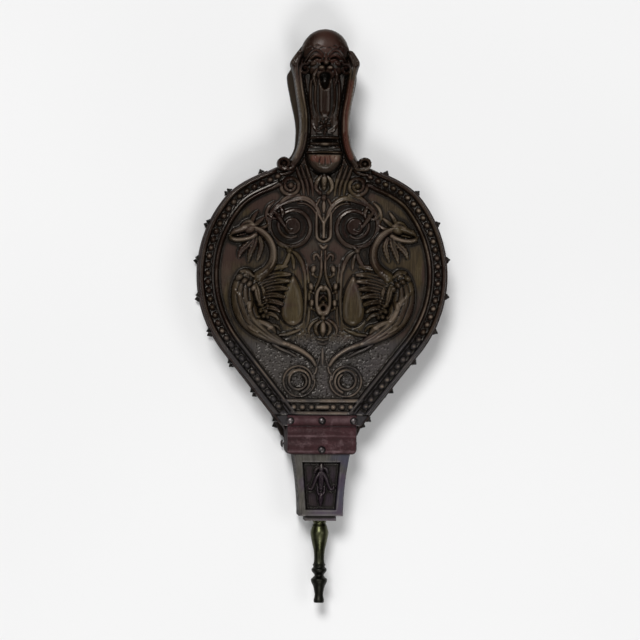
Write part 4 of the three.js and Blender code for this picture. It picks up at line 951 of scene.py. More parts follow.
def walnut(name, deep, plain, worn_and_painted_light, carved=False, gloss=(0.3, 0.46), shine=0.25):
    """Old waxed walnut, grain along the handles, with painted shade making the hollows black, and what stands
    out paler, partly from handling and partly as painted highlights.
    """
    p = Paint(name, Specular_IOR_Level=shine, Specular_Tint=rgb(1.0, 0.9, 0.8), Coat_Weight=0.08,
              Coat_Roughness=0.2)
    fibres = p.noise(10, p.stretched(70, 4.5, 70), detail=6, rough=0.65, distortion=0.3)
    figure = p.noise(7, p.stretched(4, 0.8, 4), detail=3, distortion=1.2)
    pores = p.ramp(p.noise(10, p.stretched(160, 9, 160), detail=2), 0.60, 0.70)
    patches = p.noise(26, detail=4)
    wood = p.mix(p.ramp(fibres, 0.3, 0.72), deep, plain)
    wood = p.mix(p.ramp(figure, 0.35, 0.75, 0.0, 0.6), wood, shade(plain, 1.25, 1.35, 1.05))
    wood = p.mix(p.ramp(p.noise(13, detail=3, distortion=0.8), 0.48, 0.60, 0.0, 0.8), wood,
                 shade(plain, 0.68, 0.5, 0.9))
    wood = p.mix(p.ramp(p.noise(17, detail=3), 0.53, 0.66, 0.0, 0.75), wood, shade(plain, 0.5, 0.62, 0.95))
    wood = p.mix(p.math("MULTIPLY", pores, 0.6), wood, shade(deep, 0.35))
    rubbed_and_highlit = p.ramp(patches, 0.3, 0.75, 0.05, 0.3)
    mottle = p.math("ADD", p.math("MULTIPLY", patches, 0.6), p.math("MULTIPLY", fibres, 0.4))
    rough = p.ramp(mottle, 0.3, 0.7, *gloss)
    if carved:
        wear, stained_and_shaded = p.attribute("wear"), p.attribute("stain_and_shade")
        # darker with the stain_and_shade layer: the old stain, and painted shade in hollows, pits, beside the
        # necks, under the heads and down the walls
        wood = p.mix(p.ramp(stained_and_shaded, 0.0, 1.0, 0.0, 0.86), wood, shade(deep, 0.9, 0.5, 0.75))
        ruddy = p.attribute("ruddy")
        wood = p.mix(p.ramp(ruddy, 0.0, 1.0), wood, shade(plain, 1.15, 0.42, 0.5))
        wood = p.mix(p.ramp(ruddy, 0.0, -1.0, 0.0, 0.75), wood, shade(plain, 0.78, 1.12, 2.5))
        # raised parts paler: worn, and painted highlights on the ridges
        spots = p.math("MULTIPLY", p.ramp(wear, 0.2, 0.9, 0.0, 0.7), p.ramp(patches, 0.4, 0.62, 0.1, 1.0))
        rubbed_and_highlit = p.math("ADD", spots, p.math("MULTIPLY", rubbed_and_highlit, 0.2))
        rubbed_and_highlit = p.math("MULTIPLY", rubbed_and_highlit, p.ramp(stained_and_shaded, 0.0, 1.0, 1.0, 0.25))
        # where the stain_and_shade layer is below 0: spots worn by hands, and painted highlights
        handled_and_highlit = p.math("MULTIPLY", p.ramp(stained_and_shaded, 0.0, -1.0), p.ramp(patches, 0.3, 0.6, 0.4, 1.0))
        rubbed_and_highlit = p.math("ADD", rubbed_and_highlit, handled_and_highlit)
        # painted shade: the hollows, where the layer is below 0, turn nearly black
        wood = p.mix(p.ramp(wear, -0.02, -0.36, 0.0, 0.97), wood, shade(deep, 0.1, 0.09, 0.09))
        rough = p.math("SUBTRACT", rough, p.ramp(wear, 0.0, 0.7, 0.0, 0.08))
        rough = p.math("SUBTRACT", rough, p.ramp(p.math("ABSOLUTE", stained_and_shaded), 0.0, 1.0, 0.0, 0.09))
        never_handled = p.ramp(stained_and_shaded, 1.1, 1.8, 0.0, 0.3)  # dull where the stain was laid on twice
        rough = p.math("ADD", rough, never_handled)
    # the pale colour goes where the wood is worn and where highlights are painted
    wood = p.mix(rubbed_and_highlit, wood, worn_and_painted_light)
    steep = p.steep()
    # painted shade on upright faces
    wood = p.mix(p.math("MULTIPLY", steep, 0.7), wood, shade(deep, 0.4, 0.35, 0.35))
    rough = p.math("ADD", rough, p.math("MULTIPLY", steep, 0.5))
    grain = p.bump(fibres, 0.0004, 0.5)
    normal = p.bump(pores, -0.0003, 0.5, over=p.bump(patches, 0.0008, 0.35, over=grain))
    return p.finish(Base_Color=wood, Roughness=rough, Normal=normal)


def leather(name, deep, plain, rubbed_and_highlit, gloss=(0.42, 0.62)):
    """Old dressed leather: fine pebbling, cracks, paler patches where it was handled, pale creases that are
    partly painted highlights, and painted shade in folds and on upright faces.
    """
    p = Paint(name, Specular_IOR_Level=0.22, Specular_Tint=rgb(1.0, 0.86, 0.86))
    patches = p.noise(38, detail=5, rough=0.6)
    blots = p.noise(120, detail=3)
    cracks = p.ramp(p.cells(260, where=p.stretched(1, 1.7, 1)), 0.0, 0.09, 1.0, 0.0)
    pebble = p.cells(1500, feature="F1")
    hide = p.mix(p.ramp(patches, 0.32, 0.7), deep, plain)
    hide = p.mix(p.ramp(blots, 0.5, 0.75, 0.0, 0.55), hide, rubbed_and_highlit)
    hide = p.mix(p.math("MULTIPLY", cracks, 0.5), hide, shade(deep, 0.4))
    # pale creases, worn and partly painted highlights, and dark bands of painted shade at the fold and edges
    wear = p.attribute("wear")
    hide = p.mix(p.math("MULTIPLY", p.ramp(wear, 0.0, 1.0), p.ramp(blots, 0.3, 0.6, 0.45, 1.0)), hide, rubbed_and_highlit)
    hide = p.mix(p.ramp(wear, 0.0, -1.0, 0.0, 0.85), hide, shade(deep, 0.25))
    steep = p.steep()
    # painted shade on upright faces
    hide = p.mix(p.math("MULTIPLY", steep, 0.7), hide, shade(deep, 0.25))
    rough = p.math("ADD", p.ramp(patches, 0.3, 0.7, *gloss), p.math("MULTIPLY", steep, 0.3))
    fine = p.bump(pebble, 0.00012, 0.5)
    swell = p.bump(p.noise(150, detail=4), 0.0009, 0.4, over=fine)
    normal = p.bump(cracks, -0.0003, 0.6, over=swell)
    return p.finish(Base_Color=hide, Roughness=rough, Normal=normal)


def metal(name, dark, bright, gloss=(0.25, 0.5), pits=0.3, sooty=False):
    """Old metal, tarnished in patches, and blackened towards a nozzle's tip."""
    p = Paint(name, Metallic=1.0)
    patches = p.noise(70, detail=6, rough=0.6)
    spots = p.noise(420, detail=3)
    colour = p.mix(p.ramp(patches, 0.35, 0.68), dark, bright)
    colour = p.mix(p.ramp(spots, 0.56, 0.72, 0.0, 0.6), colour, shade(dark, 0.45))
    mottle = p.math("ADD", p.math("MULTIPLY", patches, 0.5), p.math("MULTIPLY", spots, 0.5))
    rough = p.ramp(mottle, 0.35, 0.65, *gloss)
    normal = p.bump(spots, 0.0003, pits)
    if sooty:
        along = p.node("SeparateXYZ", Vector=p.place).outputs["Y"]
        soot = p.ramp(p.math("ADD", along, p.math("MULTIPLY", patches, 0.02)), -0.262, -0.292, 0.0, 0.9)
        colour = p.mix(soot, colour, (0.012, 0.012, 0.0115, 1))
        rough = p.math("ADD", rough, p.math("MULTIPLY", soot, 0.1))
        normal = p.bump(p.noise(10, p.stretched(2, 160, 2), detail=2), 0.00008, 0.3, over=normal)
    return p.finish(Base_Color=colour, Roughness=rough, Normal=normal)


WALNUT_CARVED = walnut("walnut_carved", rgb(0.0088, 0.0052, 0.0025), rgb(0.043, 0.0292, 0.0142),
                       rgb(0.13, 0.098, 0.072), carved=True, gloss=(0.2, 0.34), shine=0.2)
WALNUT_BACK = walnut("walnut_back", rgb(0.007, 0.0045, 0.003), rgb(0.016, 0.0105, 0.007),
                     rgb(0.04, 0.027, 0.018), gloss=(0.4, 0.6), shine=0.12)
WALNUT_BLOCK = walnut("walnut_block", rgb(0.012, 0.0103, 0.0103), rgb(0.076, 0.068, 0.067),
                      rgb(0.12, 0.112, 0.11), carved=True)
HINGE_HIDE = leather("hinge_hide", rgb(0.02, 0.0045, 0.0055), rgb(0.038, 0.0095, 0.012),
                     rgb(0.115, 0.068, 0.073))
BAND_HIDE = leather("band_hide", rgb(0.012, 0.007, 0.006), rgb(0.028, 0.017, 0.014), rgb(0.06, 0.042, 0.036))
GUSSET_HIDE = leather("gusset_hide", rgb(0.016, 0.008, 0.007), rgb(0.034, 0.018, 0.015),
                      rgb(0.062, 0.04, 0.033), gloss=(0.5, 0.7))
VALVE_HIDE = leather("valve_hide", rgb(0.06, 0.034, 0.02), rgb(0.12, 0.07, 0.04), rgb(0.18, 0.12, 0.075),
                     gloss=(0.6, 0.8))
NOZZLE_BRASS = metal("nozzle_brass", rgb(0.034, 0.036, 0.017), rgb(0.082, 0.084, 0.045), gloss=(0.26, 0.4),
                     pits=0.12, sooty=True)
TACK_BRASS = metal("tack_brass", rgb(0.16, 0.11, 0.045), rgb(0.4, 0.3, 0.13))
NAIL_IRON = metal("nail_iron", rgb(0.006, 0.005, 0.0045), rgb(0.028, 0.024, 0.021), gloss=(0.34, 0.5))
DOME_IRON = metal("dome_iron", rgb(0.03, 0.026, 0.026), rgb(0.13, 0.115, 0.115), gloss=(0.3, 0.48))
SCREW_STEEL = metal("screw_steel", rgb(0.1, 0.09, 0.08), rgb(0.26, 0.24, 0.22))
ASH = walnut("bent_ash", rgb(0.16, 0.1, 0.05), rgb(0.28, 0.19, 0.1), rgb(0.36, 0.27, 0.17),
             gloss=(0.55, 0.75))


def dress(piece, material, body, slot, *replaced):
    """Paints a finished piece, hides the nodes it stands for, and lets it ride on its body."""
    piece.data.materials.clear()
    piece.data.materials.append(material)
    if replaced:
        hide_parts(*replaced)
    if body:
        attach(piece, body)


def stain_front(r):
    """Where the old stain stays dark: the border, the scrolls and the handle."""
    n = pear_inset(r.x, r.y)
    border = unit((26 - n) / 3) * (r.y < 176)
    scrolls = 0.85 * unit((34 - r.from_eye(SCROLL_EYE[0], 111)) / 8)
    handle = unit((r.y - 168) / 14) * np.where(np.hypot(r.x, r.y - 186) < 20, 0.5, 1.0)
    r.stain_and_shade = np.maximum.reduce([border, scrolls, handle])


# ---- The carved front board ----
def front_board():
    r = Relief((-152, 152), (-133, 347))
    inside = inside_distance(r.x, r.y, front_outline())
    stain_front(r)
    carve_border(r)
    carve_handle(r)
    carve_centre(r)
    carve_scrolls(r)
    carve_dragons(r)
    punch_ground(r)
    r.h *= 1 - unit((LIP_Y - 0.3 - r.y) / 0.8)
    finish_carving(r, inside)
    r.h = np.where(r.y < LIP_Y, np.minimum(r.h, 0), r.h)
    piece = carved_piece("carved_front", r, inside, level(FIELD_Z), level(FRONT_Z))
    dress(piece, WALNUT_CARVED, "front", "walnut_front", "front_board")


# ---- The back board ----
VALVE_Y, VALVE_R = 45.0, 17.0


def back_board():
    """Plain underside with a moulded edge and a turned ring round the air hole. It is carved face down."""
    r = Relief((-152, 152), (-166, 342), 1.2)
    hole = np.hypot(r.x, r.y - VALVE_Y)
    edge = inside_distance(r.x, r.y, back_outline())
    inside = np.minimum(edge, hole - VALVE_R)
    r.h += 0.1 * patchy(r.h.shape, 12, 11) - 0.1
    r.h -= unit(1.3 - np.abs(edge - 9)) * 0.5 + unit(1.0 - np.abs(hole - 24)) * 0.6
    r.h -= unit(1.0 - np.abs(hole - 29)) * 0.6
    r.h = np.minimum(r.h - edge_fall(inside, 1.4), -0.02)
    piece = carved_piece("back_board_plain", r, inside, level(BACK_THICK), level(0), grid_bottom=True)
    moved(piece, [1, 1, -1], (0, 0, BACK_THICK))  # the worked face turns down
    piece.data.flip_normals()
    dress(piece, WALNUT_BACK, "back", "walnut_back", "back_board")


# ---- The nozzle block ----
PANEL_DEPTH = 5.2


def taper(y):
    """0 where the block's head ends, and 1 at the block's end."""
    return unit((y - HEAD_END_Y) / (BLOCK_END_Y - HEAD_END_Y))


def nozzle_block():
    """Its neck narrows in a hollow curve from head to step, with a recessed panel and a pendant on top."""
    r = Relief((-44, 44), (-247, -130), 0.6)
    neck = [(26.7 + 7.5 * (1 - taper(y)) ** 2, y) for y in np.linspace(HEAD_END_Y, BLOCK_END_Y, 30)]
    head = [(HEAD_HALF, HINGE_Y - 0.5), (HEAD_HALF, HEAD_END_Y + 6), (HEAD_HALF - 6, HEAD_END_Y - 0.01)]
    outline = closed([*head, *neck, (19, BLOCK_END_Y - 0.01), (19, STEP_END_Y)])
    inside = inside_distance(r.x, r.y, outline)
    d = inside_distance(r.x, r.y, closed([(23.2, -174), (18.4, -232)]))
    r.h -= PANEL_DEPTH * unit(d / 2.2) ** 0.6
    r.stain_and_shade = unit(d / 1.5) * 0.9
    on_panel = {"soft": 0.25, "base": -PANEL_DEPTH}
    r.upright([(-177, 2.4, 4.2), (-182, 3.6, 5.6), (-186.5, 1.8, 3.6)], **on_panel)
    r.stroke([(2.4, -180, 1.4, 3.2), (6.2, -183, 2.2, 4.4), (8, -187.5, 1.2, 2.6)], **on_panel)
    r.upright([(-187, 2.6, 4.6), (-196, 3.8, 6), (-206, 2.6, 4.6)], "leaf", **on_panel)
    r.stroke([(2.4, -187, 1.9, 4), (6, -194, 2.6, 5.2), (8.6, -201, 2.2, 4.8), (11.4, -206.4, 2.4, 5.2),
              (15, -206, 1.8, 4.4), (15.4, -202.6, 1.1, 3)], **on_panel)
    r.leaf([(4.2, -203, 1.2, 2.4), (4, -209, 1.6, 3.4), (2.2, -214, 1.2, 2.4)], **on_panel)
    r.upright([(-212, 1.8, 3.4), (-219, 3, 5.2), (-226.5, 1, 2)], "leaf", **on_panel)
    r.h += 0.14 * patchy(r.h.shape, 10, 21) - 0.14
    r.h = blurred(r.h, 0.3 / r.cell)
    step = r.y < BLOCK_END_Y + 0.2
    r.h = np.where(step, np.minimum(r.h, 0) - PANEL_DEPTH, r.h)
    r.h -= edge_fall(inside, 1.5)
    r.h = np.where(r.y > HEAD_END_Y, np.minimum(r.h, -0.05), r.h)
    fall = lambda y: FIELD_Z - 6 * taper(y)
    neck_low = lambda y: np.where(y < BLOCK_END_Y + 0.2, 17, 3 + 9 * taper(y))
    low = lambda y: np.where(y > HEAD_END_Y - 0.2, BACK_THICK + 0.3, neck_low(y))
    piece = carved_piece("carved_block", r, inside, fall, low, grid_bottom=True)
    dress(piece, WALNUT_BLOCK, "back", "walnut_block", "nozzle_block")


# ---- Brass nozzle ----
BORE_R, SHANK_R = 3.5, 7.4


def brass_nozzle():
    """Turned outside with crisp fillets, hollow through to the shank's inner end."""
    outside = [(7.9, 0.3), (8.0, 1.8), (7.5, 3.2), (7.7, 4.6), (9.4, 8), (10.9, 13.6), (10.9, 17), (10.1, 22),
               (8.6, 29), (6.9, 36), (6.2, 43), (6.2, 48), (6.8, 52), (7.9, 54), (7.0, 55.6), (7.4, 57),
               (9.0, 58.8), (9.2, 60.4), (8.4, 62.4), (6.0, 65.4), (5.6, 67), (7.6, 69.2), (9.6, 71),
               (9.8, 73), (9.0, 75.6), (7.0, 80), (5.7, 86), (5.2, 90), (5.5, 93), (6.3, 96), (6.2, 98.6)]
    tip, inner = TOP_Y + STEP_END_Y, 27.0
    curve = [tuple(row) for row in spline(outside, 0.7)]
    rows = [(BORE_R, tip - 0.1), (5.8, tip), (6.1, tip - 0.5)] + [p for p in curve[::-1] if p[1] < tip - 0.6]
    rows += [(SHANK_R, 0.2), (SHANK_R, -inner), (4.8, -inner), (BORE_R, 20), (BORE_R, tip - 0.1)]
    sides = 40
    points, faces = lathe_points(rows, sides)
    # no end caps: the last ring of points is the first one again
    last = (len(rows) - 1) * sides
    points, faces = points[:last], [[v % last for v in face] for face in faces[:-2]]
    placed = np.column_stack([points[:, 0], STEP_END_Y - points[:, 2], DUCT_Z + points[:, 1]])
    piece = mesh_piece("turned_nozzle", placed, faces, 38)
    outward(piece)
    dress(piece, NOZZLE_BRASS, "back", "nozzle_brass", "brass_nozzle")


# ---- Leather ----
FOLD_Z = (BACK_THICK + FRONT_Z) / 2  # the gusset's fold


def fold_depth(y):
    return 6 + 0.13 * (y - HINGE_Y)


def gusset_path():
    """Round the pear, and in at both ends under the side flaps of the hinge leather."""
    pear = pear_path(0, GUSSET_END_Y, 0, 2.2)
    tuck = spline([tuple(pear[-1, :2]), (46.8, -132.4), (44.2, -135.8), (43.1, -140)], 1.6)[1:]
    way = np.gradient(tuck, axis=0)
    way /= np.hypot(*way.T)[:, None]
    return both_sides(np.vstack([pear, np.column_stack([tuck, way[:, 1], -way[:, 0]])]))


def gusset():
    """One inward fold between two puffs, with radial puckers where the leather is gathered round the pear."""
    path = gusset_path()
    travelled = travel(path)
    small, large = (patchy((1, len(path)), size, seed)[0] for size, seed in ((3.2, 31), (9, 32)))

    def outside_of(row, i):
        depth = fold_depth(row[1])
        gather = 0.55 * small[i] + 0.5 * large[i] + 0.28 * math.sin(travelled[i] / 3.1)
        puff = [(1.7, 16.65), (0.55, 13.4), (0.9, 9.6), (3.2, 6.8), (depth * 0.3 + 2, 4.4),
                (depth * 0.65, 2.4), (depth - 1.4, 1.1)]
        lower = [(inward, FOLD_Z - z) for inward, z in puff]
        upper = [(inward, FOLD_Z + z) for inward, z in puff[::-1]]
        outer = spline([*lower, (depth + 0.2, FOLD_Z), *upper], 2.6)
        bulge = np.sin(unit((outer[:, 1] - 16.4) / 33.2) * math.pi) ** 0.7
        near_edge = np.exp(-(((np.abs(outer[:, 1] - FOLD_Z) - 9) / 5) ** 2))
        outer[:, 0] += gather * near_edge
        puffed = (np.abs(outer[:, 1] - FOLD_Z) > 1.5) & (outer[:, 0] > 4)
        outer[:, 1] += 0.5 * gather * bulge * np.sign(FOLD_Z - outer[:, 1]) * puffed
        return outer * [squeezed(row), 1]

    def inside_of(outer, row):
        inner = outer[::-1].copy()
        inner[:, 0] += squeezed(row) * (1.9 + 0.5 * unit(1 - np.abs(inner[:, 1] - FOLD_Z) / 17))
        return inner

    def squeezed(row):
        return float(np.interp(row[1], [-140, -134, GUSSET_END_Y], [0.25, 0.6, 1]))

    def even(part, n=44):
        old, new = np.linspace(0, 1, len(part)), np.linspace(0, 1, n)
        return np.column_stack([np.interp(new, old, column) for column in part.T])

    outsides = [outside_of(row, i) for i, row in enumerate(path)]
    shapes = [np.vstack([even(outside), even(inside_of(outside, row))])
              for outside, row in zip(outsides, path)]
    piece = swept_piece("folded_gusset", path, lambda row, i: shapes[i])
    dress(piece, GUSSET_HIDE, None, "gusset_leather", "gusset_leather")
    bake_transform(piece)


def edge_bands():
    """Leather strips over the gusset's edges, a little unevenly cut."""
    front = pear_path(SHOULDER_ANGLE, HINGE_Y + 3, 0, 1.6)
    back = back_path(SHOULDER_ANGLE, TONGUE_Y + 2.5, 0, 1.6)
    for board, right, low, high in (("front", front, FRONT_Z + 0.5, FRONT_Z + 11.5),
                                    ("back", back, 2.0, 15.5)):
        for name, side in (("left", -1), ("right", 1)):
            path = right * [side, 1, side, 1]
            ragged = patchy((2, len(path)), 7, 40 + side + (board == "front"))

            def section(row, i):
                a, b = low + 0.35 * ragged[0, i], high + 0.35 * ragged[1, i] - 0.35
                return [(1.6, a), (0.5, a + 0.1), (0.05, a + 0.9), (0.0, (a + b) / 2), (0.05, b - 0.9),
                        (0.5, b - 0.1), (1.6, b)]

            piece = swept_piece(f"edge_band_{board}_{name}", path, section)
            dress(piece, BAND_HIDE, board, "band_leather", f"{board}_band_{name}")


def bells(y, *rows):
    """A sum of bell curves, from rows (middle, width, height)."""
    return sum(height * math.exp(-(((y - middle) / width) ** 2)) for middle, width, height in rows)


def hinge_leather():
    """One piece of leather: tacked to the front board's lip, folded at the hinge, stretched on the block."""
    across = np.concatenate([np.linspace(0, 1, 26)[:-1], np.linspace(1, 2, 90)[:-1], np.linspace(2, 3, 26)])
    along = np.linspace(LIP_Y - 0.6, HEAD_END_Y - 0.6, 60)
    half, top, bottom, corner = HEAD_HALF + 0.5, LEATHER_TOP - 1.9, 3.2, 2.2
    creases = patchy((len(along), len(across)), 7, 51)
    waves = patchy((len(along), len(across)), 16, 52)
    points, worn_and_painted_light, kept = [], [], np.ones((len(along), len(across)), bool)
    for j, y in enumerate(along):
        on_strip = y > HINGE_Y - 0.4
        near_end = min(1, max(0, (HEAD_END_Y + 5 - y) / 5.8))
        narrow = 5.4 * (1 - math.sqrt(1 - near_end**2))
        fold = bells(y, (HINGE_Y, 1.5, 1.5))
        puff = bells(y, (HINGE_Y - 7, 4.5, 0.9), (HEAD_END_Y + 2.4, 2.2, 0.8))
        for i, u in enumerate(across):
            wave = waves[j, i]
            ripple = 0.55 * creases[j, i] + 0.5 * wave + 0.35 * math.sin((y + 0.8 * wave) / 2.3)
            # painted shade: dark bands in the hinge fold, along the leather's upper edge, over the back
            # board's tongue end, and at the lower end
            dark = bells(y, (HINGE_Y + 0.3 * wave, 0.9, 1.3), (-117.8, 0.7, 1), (-146.5, 2.2, 0.45),
                         (HEAD_END_Y, 0.7, 1))
            if 1 <= u <= 2:
                thick = 1.9 + puff + ripple * 0.8 * (y < HINGE_Y + 10) - fold
                x, z = (u - 1.5) * 2 * (half - narrow), top + thick
                drop = max(0.0, abs(x) - (half - narrow) + corner)
                rounded = corner - math.sqrt(max(0, corner**2 - min(drop, corner) ** 2))
                z -= 0.25 * drop if on_strip else rounded
                # pale creases: worn, and partly painted highlights where the leather bulges
                pale = bells(y, (-123.5, 4, 0.75), (-142.5 + 1.2 * wave, 1.5, 0.9), (-161.3, 1.3, 0.9),
                             (-150, 5, 0.2))
                worn_and_painted_light.append(pale * (0.65 + 0.5 * creases[j, i]) - dark)
            else:
                side, down = (-1, 1 - u) if u < 1 else (1, u - 2)
                bulge = 0 if on_strip else 1.4 * math.sin(math.pi * min(1, down)) + 0.4 * ripple
                x, z = side * (half + 0.4 + bulge - narrow), top - 1.2 - down * (top - bottom - 1.2)
                if y > TONGUE_Y - 2:  # beside the back board
                    z = max(z, BACK_THICK + 0.6)
                kept[j, i] = y < HINGE_Y - 1
                # the side flaps are made darker all over, with the same painted shade bands
                worn_and_painted_light.append(-dark - 0.85)
            points.append((x, y, z))
    whole = kept[:-1, :-1] & kept[1:, :-1] & kept[:-1, 1:] & kept[1:, 1:]
    faces = [quad(j, i, len(across)) for j, i in np.argwhere(whole).tolist()]
    used = sorted({v for face in faces for v in face})
    renumber = {v: k for k, v in enumerate(used)}
    faces = [[renumber[v] for v in face][::-1] for face in faces]
    piece = mesh_piece("hinge_leather", np.array(points)[used], faces, 60, wear=np.array(worn_and_painted_light)[used])
    thicken(piece, 1.5)
    dress(piece, HINGE_HIDE, None, "hinge_leather", "hinge_strip", "hinge_saddle")
    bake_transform(piece)


def thicken(piece, thickness):
    """Gives an open surface a thickness inwards, and bakes that into the mesh."""
    solidify = piece.modifiers.new("thickness", "SOLIDIFY")
    solidify.thickness, solidify.offset, solidify.use_even_offset = thickness * MM, -1, False
    graph = bpy.context.evaluated_depsgraph_get()
    baked = bpy.data.meshes.new_from_object(piece.evaluated_get(graph))
    piece.modifiers.clear()
    piece.data = baked
    piece.data.shade_smooth()


# ---- Nails ----
NAILS_PER_SIDE = 9  # on the front board; the back board has the same but for the first
FIRST_NAIL = 7.0


def nail_places(fine):
    """Even steps along a finely stepped path."""
    travelled = travel(fine)
    for k in range(NAILS_PER_SIDE):
        wanted = FIRST_NAIL + (travelled[-1] - FIRST_NAIL) * k / (NAILS_PER_SIDE - 1)
        yield fine[min(np.searchsorted(travelled, wanted), len(fine) - 1)]


def driven(name, points, faces, at, towards, sharp=38):
    """A nail whose +Z points along towards, its seat at `at`."""
    turn = Vector((0, 0, 1)).rotation_difference(Vector(towards)).to_matrix()
    placed = np.array(points) @ np.array(turn).T + np.array(at)
    piece = mesh_piece(name, placed, faces, sharp)
    outward(piece)
    return piece


def edge_nails():
    """Hand-forged nails with four-sided points, each knocked a little differently."""
    front = list(nail_places(pear_path(SHOULDER_ANGLE, -122, 0, 0.5)))
    back = list(nail_places(back_path(SHOULDER_ANGLE, -131, 0, 0.5)))[1:]
    for board, z, places in (("front", FRONT_Z + 6, front), ("back", BACK_THICK / 2, back)):
        for name, side in (("left", -1), ("right", 1)):
            for i, (x, y, nx, ny) in enumerate(places):
                node = f"{board}_nail_{name}_{i + 1}"
                tall, wide, twist = rng.uniform(4.5, 5.2), rng.uniform(3.9, 4.4), rng.uniform(0, 1.5)
                facet = lambda a, h: 0.10 * abs(math.cos(2 * (a - twist))) * (0.2 if h < 1 else 1) - 0.05
                rows = [(1.0, -9), (1.1, 0.2), (wide * 0.96, 0.25), (wide, 0.7), (wide * 0.94, 1.3),
                        (wide * 0.74, 2.0), (wide * 0.5, 2.9), (wide * 0.27, tall * 0.84), (0.6, tall),
                        (0.1, tall + 0.12)]
                points, faces = lathe_points(rows, 20, facet)
                nail = driven("forged_" + node, points, faces, (x * side, y, z),
                              (-nx * side, -ny, 0.04 * rng.uniform(-1, 1)))
                dress(nail, NAIL_IRON, board, "nail_iron", node)


def domed_nail(name, node, at, towards, body, radius=4.6, height=3.2, material=DOME_IRON,
               slot="domed_nail_iron"):
    rows = [(0.9, -6), (0.9, 0.1), (radius * 0.9, 0.15), (radius, 0.5)]
    angles = np.linspace(0.15, math.pi / 2 - 0.04, 9)
    rows += [(radius * math.cos(a), 0.5 + (height - 0.5) * math.sin(a)) for a in angles]
    dent = rng.uniform(0, 6.28)
    wobble = lambda a, h: 0.025 * math.cos(2 * (a - dent)) + 0.018 * math.cos(5 * a + dent)
    points, faces = lathe_points(rows, 28, wobble)
    dress(driven(name, points, faces, at, towards, 50), material, body, slot, node)


def hinge_nails():
    y = HINGE_Y + 6.5
    for name, x in (("left", -38), ("centre", 0), ("right", 38)):
        domed_nail(f"domed_strip_nail_{name}", f"hinge_strip_nail_{name}", (x, y, LEATHER_TOP + 0.1),
                   (0, 0, 1), "front")
    domed_nail("domed_saddle_nail", "hinge_saddle_nail", (0, HEAD_END_Y + 5, LEATHER_TOP + 0.3), (0, 0, 1),
               "back")
    for name, side in (("left", -1), ("right", 1)):
        at = (side * (HEAD_HALF + 2.5), -153.5, 8)
        domed_nail(f"domed_flap_nail_{name}", f"saddle_flap_nail_{name}", at, (side, 0, 0), "back")
        tack = (side * 16, VALVE_Y + 32, BACK_THICK + 2.4)
        domed_nail(f"domed_valve_tack_{name}", f"valve_tack_{name}", tack, (0, 0, 1), "back", 3.3, 1.9,
                   TACK_BRASS, "tack_brass")


def block_screws():
    """Countersunk heads with a filed slot, seen from below."""
    for name, side in (("left", -1), ("right", 1)):
        r = Relief((-5, 5), (-5, 5), 0.28)
        inside = 4.35 - np.hypot(r.x, r.y)
        slot = unit(1 - np.abs(r.x * 0.8 + r.y * 0.6 * side) / 0.75) ** 0.3
        r.h = 0.35 * unit(1 - (np.hypot(r.x, r.y) / 4.4) ** 2) - 0.9 * slot * (inside > 0.25)
        piece = carved_piece(f"slotted_screw_{name}", r, inside, level(1.6), level(0.2))
        moved(piece, [1, -1, -1], (side * 22, -150, 2.7))
        dress(piece, SCREW_STEEL, "back", "screw_steel", f"block_screw_{name}")


# ---- Build ----
front_board()
back_board()
nozzle_block()
brass_nozzle()
gusset()
edge_bands()
hinge_leather()
edge_nails()
hinge_nails()
block_screws()
for node, material in (("gusset_hoop", ASH), ("valve_flap", VALVE_HIDE), ("valve_hinge_tab", VALVE_HIDE),
                       ("valve_flap_board", ASH)):
    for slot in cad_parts[node].material_slots:
        slot.material = material


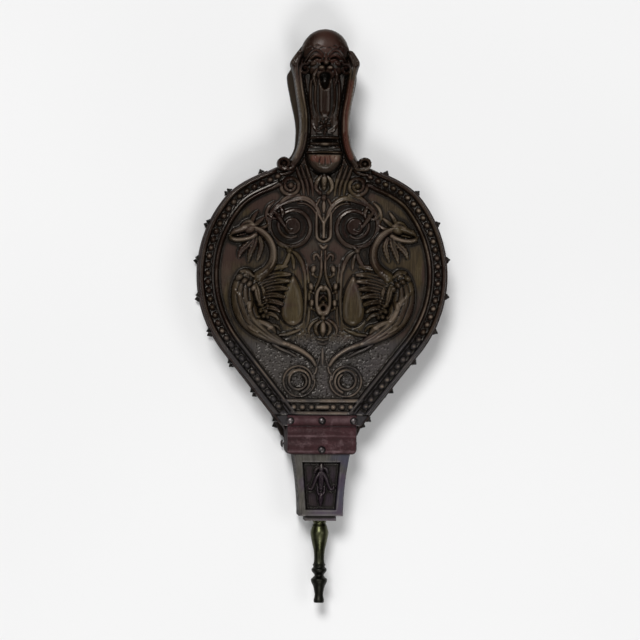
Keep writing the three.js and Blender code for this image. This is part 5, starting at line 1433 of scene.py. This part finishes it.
# ---- Floor, light and camera ----
def floor():
    n, size, under = 24, 6.0, -0.0006
    grid = [(size * (i / n - 0.5), size * (j / n - 0.5), under) for j in range(n + 1) for i in range(n + 1)]
    faces = [quad(j, i, n + 1) for j in range(n) for i in range(n)]
    mesh = bpy.data.meshes.new("floor")
    mesh.from_pydata(grid, [], faces)
    piece = link("floor", mesh)
    p = Paint("pale_floor", Specular_IOR_Level=0.1)
    tone = p.mix(p.ramp(p.noise(1.2, detail=2), 0.3, 0.7), rgb(0.80, 0.80, 0.80), rgb(0.83, 0.83, 0.83))
    piece.data.materials.append(p.finish(Base_Color=tone, Roughness=p.ramp(p.noise(3), 0.3, 0.7, 0.85, 0.95)))


def soft_sun(name, azimuth, elevation, strength, spread):
    """A distant softbox: azimuth from +X anticlockwise, elevation and apparent width, all in degrees."""
    light = bpy.data.lights.new(name, "SUN")
    light.energy, light.angle = strength, math.radians(spread)
    lamp = link(name, light)
    a, e = math.radians(azimuth), math.radians(elevation)
    toward = Vector((math.cos(a) * math.cos(e), math.sin(a) * math.cos(e), math.sin(e)))
    lamp.location = toward * 3
    lamp.rotation_euler = toward.to_track_quat("Z", "Y").to_euler()


def studio():
    scene = bpy.context.scene
    world = bpy.data.worlds.new("studio")
    world.use_nodes = True
    background = world.node_tree.nodes["Background"].inputs
    background["Color"].default_value, background["Strength"].default_value = rgb(1, 1, 1), 0.1
    scene.world = world
    scene.view_settings.view_transform = "Standard"
    scene.view_settings.look = "None"
    soft_sun("key", 112, 61, 2.12, 18)
    soft_sun("low", 275, 54, 0.87, 20)
    soft_sun("left", 185, 62, 0.34, 26)
    soft_sun("right", 5, 62, 0.38, 26)


def camera():
    """Looks straight down on the carved face, a touch from its left, handles up."""
    lens = bpy.data.cameras.new("camera")
    lens.lens, lens.sensor_width, lens.clip_end = 180, 36, 20
    cam = link("camera", lens)
    width, lean, roll = 0.768, math.radians(4.2), math.radians(0.48)
    target = Vector((-0.0030, -0.0036, 0.055))
    away = Vector((-math.sin(lean), 0, math.cos(lean)))
    cam.location = target + away * (width * lens.lens / lens.sensor_width)
    across = Vector((math.cos(lean), 0, math.sin(lean)))
    basis = Matrix((across, Vector((0, 1, 0)), away)).transposed().to_4x4()
    cam.matrix_world = Matrix.Translation(cam.location) @ basis @ Matrix.Rotation(roll, 4, "Z")
    bpy.context.scene.camera = cam


floor()
studio()
camera()
